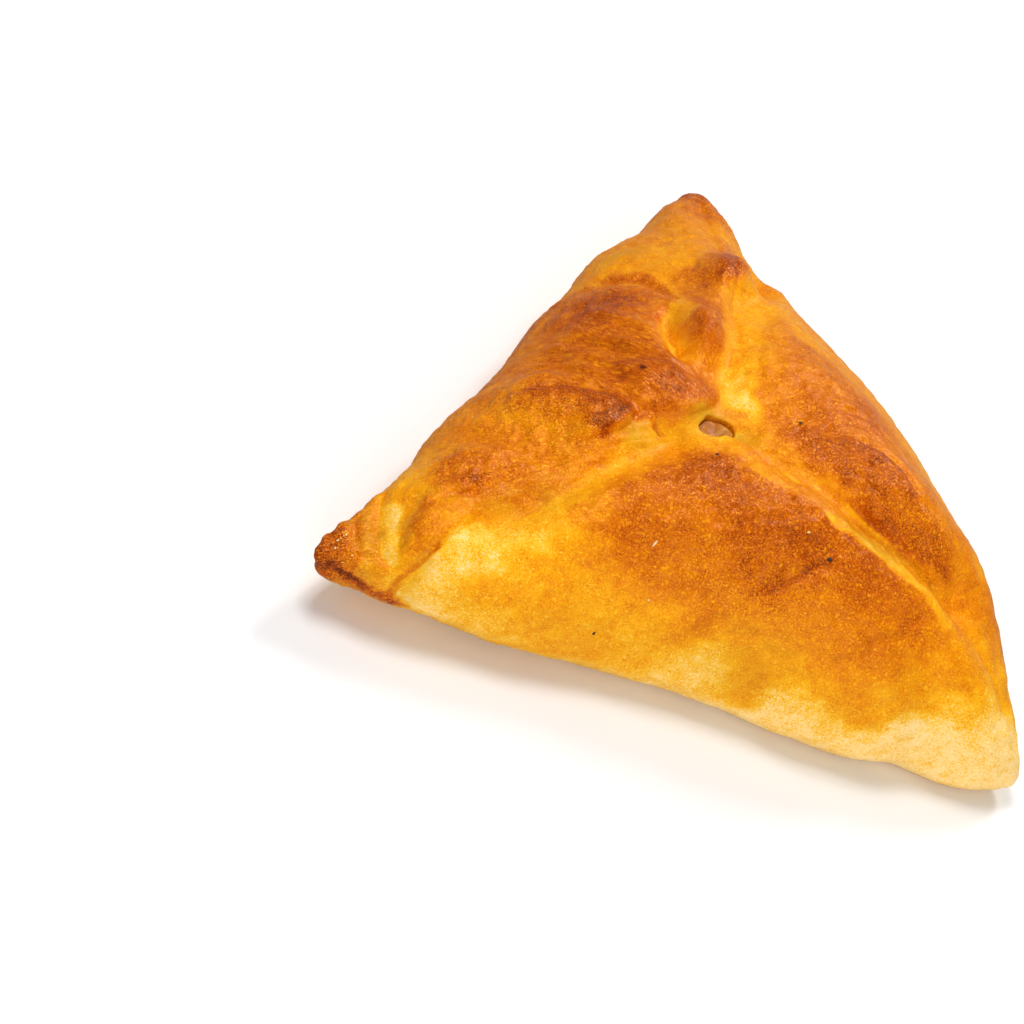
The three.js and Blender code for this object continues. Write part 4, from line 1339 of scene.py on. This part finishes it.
def bits_mesh(name, parcel, bits, thickness):
    """Small flattened blobs lying on the crust: each is a ball of rings, ragged by seeded noise, stretched to
    its half sizes and set into the tangent plane of the baked top."""
    random = np.random.default_rng(parcel.seed)
    x, y = np.array([b.at for b in bits], float).T
    half = np.array([b.half for b in bits])
    turn = np.radians([b.turn for b in bits])
    h = SLOPE_STEP
    slope_x = (parcel.height(x + h, y) - parcel.height(x - h, y)) / (2 * h)
    slope_y = (parcel.height(x, y + h) - parcel.height(x, y - h)) / (2 * h)
    up = unit(np.stack([-slope_x, -slope_y, np.ones_like(x)], -1))
    rise = slope_x * np.cos(turn) + slope_y * np.sin(turn)
    long = unit(np.stack([np.cos(turn), np.sin(turn), rise], -1))
    wide = np.cross(up, long)
    u = np.linspace(0, 2 * math.pi, BIT_AROUND, endpoint=False)[None, :]
    w = np.radians(BIT_LATITUDES)[:, None]
    ball = ring(np.cos(w) * np.cos(u), np.cos(w) * np.sin(u), np.sin(w))
    ball = ring_points((0, 0, -1), ball, (0, 0, 1))
    ragged = 1 + BIT_RAGGEDNESS * random.uniform(-1, 1, (len(bits), len(ball), 1))
    size = np.column_stack([half, thickness * half.min(axis=1)])
    local = ball[None] * ragged * size[:, None, :]
    points = local[..., :1] * long[:, None] + local[..., 1:2] * wide[:, None] + local[..., 2:] * up[:, None]
    points = points + np.stack([x, y, parcel.height(x, y)], -1)[:, None]
    offset = (np.arange(len(bits)) * len(ball))[:, None, None]
    groups = ring_faces(len(BIT_LATITUDES), BIT_AROUND)
    faces = [(offset + g[None]).reshape(-1, g.shape[1]) for g in groups]
    return array_mesh(name, centred(points.reshape(-1, 3), parcel), faces)


class SAMSA_OT_crust(bpy.types.Operator):
    """Builds the baked crust with its folds, vent and browning"""

    bl_idname = "samsa.crust"
    bl_label = "Build crust"

    def execute(self, context):
        """Makes the mesh, stores its tones and adds it as a piece."""
        parcel = Parcel(context.scene.samsa_sizes)
        rings, tone = crust_surface(parcel)
        points = ring_points((*VENT_AT, 0), rings, (*VENT_AT, HOLLOW_FLOOR))
        mesh = array_mesh("crust_baked", centred(points, parcel), ring_faces(*rings.shape[:2]))
        browning = np.concatenate([[UNDERSIDE_TONE], tone.ravel(), [HOLLOW_TONE]])
        store(mesh, "browning", browning)
        # olive share, partly painted shade round the vent and under the nose
        store(mesh, "olive", parcel.olive(points, browning))
        store(mesh, "crusty", parcel.crusty(points))
        for flow, drawn, share in parcel.flows(points):
            store(mesh, flow.name + "_flow", drawn)
            store(mesh, flow.name + "_share", share)
        add_piece("crust_baked", mesh, "crust", baked_dough(context.scene.samsa_crust))
        return {"FINISHED"}


class SAMSA_OT_filling(bpy.types.Operator):
    """Builds the filling that shows at the vent"""

    bl_idname = "samsa.filling"
    bl_label = "Build filling"

    def execute(self, context):
        """Makes the mesh and adds it as a piece."""
        parcel = Parcel(context.scene.samsa_sizes)
        rings = filling_surface(parcel)
        low, high = HOLLOW_FLOOR + FILLING_ROOM, rings[-1, :, 2].mean()
        points = ring_points((*VENT_AT, low), rings, (*VENT_AT, high))
        mesh = array_mesh("filling_moist", centred(points, parcel), ring_faces(*rings.shape[:2]))
        add_piece("filling_moist", mesh, "filling", moist_filling(context.scene.samsa_filling))
        return {"FINISHED"}


class SAMSA_OT_bits(bpy.types.Operator):
    """Lays the charred specks and the pale flakes on the crust"""

    bl_idname = "samsa.bits"
    bl_label = "Lay specks and flakes"

    def execute(self, context):
        """Makes one mesh of all specks and one of all flakes, and adds them as pieces."""
        parcel = Parcel(context.scene.samsa_sizes)
        finish = context.scene.samsa_crust
        specks = bits_mesh("charred_specks", parcel, SPECKS, SPECK_THICKNESS)
        charred = bit_finish("charred_speck", finish.speck, SPECK_LIGHTER, SPECK_ROUGHNESS)
        add_piece("charred_specks", specks, None, charred)
        flakes = bits_mesh("pale_flakes", parcel, FLAKES, FLAKE_THICKNESS)
        pale = bit_finish("pale_flake", finish.flake, FLAKE_DARKER, FLAKE_ROUGHNESS)
        add_piece("pale_flakes", flakes, None, pale)
        return {"FINISHED"}


class SAMSA_OT_studio(bpy.types.Operator):
    """Sets the plain floor, the soft lights and the camera"""

    bl_idname = "samsa.studio"
    bl_label = "Set studio"

    def execute(self, context):
        """Lays the floor, lights the room, hangs the lamps and places the camera."""
        scene = context.scene
        studio = scene.samsa_studio
        axes = self.axes(studio)
        self.lay_floor(scene, studio)
        self.light_room(scene, studio, axes)
        for lamp in LAMPS:
            self.hang_lamp(scene, lamp, getattr(studio, lamp.power), lamp.at @ axes)
        self.place_camera(scene, studio, axes)
        scene.view_settings.view_transform = "Standard"
        scene.view_settings.look = "None"
        return {"FINISHED"}

    def axes(self, studio):
        """Right, up and back directions of the camera: azimuth 0 looks along +Y, and roll turns the
        picture."""
        a, e, r = studio.azimuth, studio.elevation, studio.roll
        back = np.array([math.sin(a) * math.cos(e), -math.cos(a) * math.cos(e), math.sin(e)])
        level = np.array([math.cos(a), math.sin(a), 0.0])
        rise = np.cross(back, level)
        right = math.cos(r) * level + math.sin(r) * rise
        up = math.cos(r) * rise - math.sin(r) * level
        return np.array([right, up, back])

    def lay_floor(self, scene, studio):
        """Flat square grid of 6 m at height 0."""
        u = np.linspace(-FLOOR_HALF, FLOOR_HALF, FLOOR_POINTS) / MM
        gx, gy = np.meshgrid(u, u)
        grid = np.arange(FLOOR_POINTS**2).reshape(FLOOR_POINTS, FLOOR_POINTS)
        quads = np.stack([grid[:-1, :-1], grid[:-1, 1:], grid[1:, 1:], grid[1:, :-1]], -1).reshape(-1, 4)
        mesh = array_mesh("studio_floor", ring(gx, gy, 0).reshape(-1, 3), [quads])
        floor = bpy.data.objects.new("studio_floor", mesh)
        scene.collection.objects.link(floor)
        material, _, shader = new_material("pale_floor")
        shader.inputs["Base Color"].default_value = (*studio.floor, 1)
        shader.inputs["Roughness"].default_value = FLOOR_ROUGHNESS
        shader.inputs["Specular IOR Level"].default_value = FLOOR_SPECULAR
        mesh.materials.append(material)
        floor.visible_glossy = False

    def light_room(self, scene, studio, axes):
        """White room whose light rises with height, from the dim horizon to the bright ceiling. A bright wall
        behind, on the right, shows as sheen along the contour."""
        scene.world = bpy.data.worlds.new("white_room")
        scene.world.use_nodes = True
        shading = Shading(scene.world.node_tree)
        way = shading.nodes.new("ShaderNodeTexCoord").outputs["Generated"]
        height = shading.nodes.new("ShaderNodeSeparateXYZ")
        shading.links.new(way, height.inputs[0])
        behind = shading.nodes.new("ShaderNodeVectorMath")
        behind.operation = "DOT_PRODUCT"
        behind.inputs[1].default_value = unit(BRIGHT_WALL @ axes)
        shading.links.new(way, behind.inputs[0])
        horizon, ceiling, sheen = (studio.horizon,) * 3, (studio.ceiling,) * 3, (studio.sheen,) * 3
        room = shading.ramp(height.outputs["Z"], ((HORIZON_AT, horizon), (CEILING_AT, ceiling)))
        bright = shading.ramp(behind.outputs["Value"], ((WALL_FROM, (0, 0, 0)), (1, sheen)))
        shading.links.new(shading.plus(room, bright), shading.nodes["Background"].inputs["Color"])

    def hang_lamp(self, scene, lamp, watts, place):
        """Soft square light that looks at the parcel."""
        data = bpy.data.lights.new(lamp.name, "AREA")
        data.energy = watts
        data.size = lamp.size
        light = bpy.data.objects.new(lamp.name, data)
        z = unit(place)
        x = unit(np.cross([0.0, 0.0, 1.0], z))
        light.matrix_world = self.pose(x, np.cross(z, x), z, place)
        scene.collection.objects.link(light)

    def place_camera(self, scene, studio, axes):
        """Camera that looks along its back axis from the set distance, moved across and along the picture."""
        mx, my = Parcel(scene.samsa_sizes).plan_middle()
        aim = np.array([-mx, -my, AIM_HEIGHT]) * MM
        camera = bpy.data.objects.new("camera", bpy.data.cameras.new("camera"))
        camera.data.sensor_width = SENSOR
        camera.data.lens = studio.lens
        camera.data.clip_start, camera.data.clip_end = NEAR_CLIP, FAR_CLIP
        camera.matrix_world = self.pose(*axes, aim + [studio.across, studio.along, studio.distance] @ axes)
        scene.collection.objects.link(camera)
        scene.camera = camera

    def pose(self, x, y, z, place):
        """Matrix with the given axes and place."""
        return Matrix([*np.column_stack([x, y, z, place]).tolist(), [0, 0, 0, 1]])


class SAMSA_PT_panel(bpy.types.Panel):
    """Sidebar panel that lists the steps and the sizes and colours"""

    bl_label = "Samsa"
    bl_space_type = "VIEW_3D"
    bl_region_type = "UI"
    bl_category = "Samsa"

    def draw(self, context):
        """Draws a button for each step and a box for each group of settings."""
        for operator in OPERATORS:
            self.layout.operator(operator.bl_idname)
        for name, group in GROUPS.items():
            box = self.layout.box()
            for key in group.__annotations__:
                box.prop(getattr(context.scene, name), key)


OPERATORS = (SAMSA_OT_crust, SAMSA_OT_filling, SAMSA_OT_bits, SAMSA_OT_studio)
GROUPS = {
    "samsa_sizes": ParcelSizes,
    "samsa_crust": CrustFinish,
    "samsa_filling": FillingFinish,
    "samsa_studio": StudioSettings,
}
CLASSES = (*GROUPS.values(), *OPERATORS, SAMSA_PT_panel)


def register():
    """Registers the classes and gives the scene its settings."""
    for cls in CLASSES:
        bpy.utils.register_class(cls)
    for name, group in GROUPS.items():
        setattr(bpy.types.Scene, name, PointerProperty(type=group))


def unregister():
    """Takes the settings and the classes away again."""
    for name in GROUPS:
        delattr(bpy.types.Scene, name)
    for cls in reversed(CLASSES):
        bpy.utils.unregister_class(cls)


def main():
    """Builds every piece in order."""
    register()
    bpy.ops.samsa.crust()
    bpy.ops.samsa.filling()
    bpy.ops.samsa.bits()
    bpy.ops.samsa.studio()


if __name__ == "__main__":
    main()
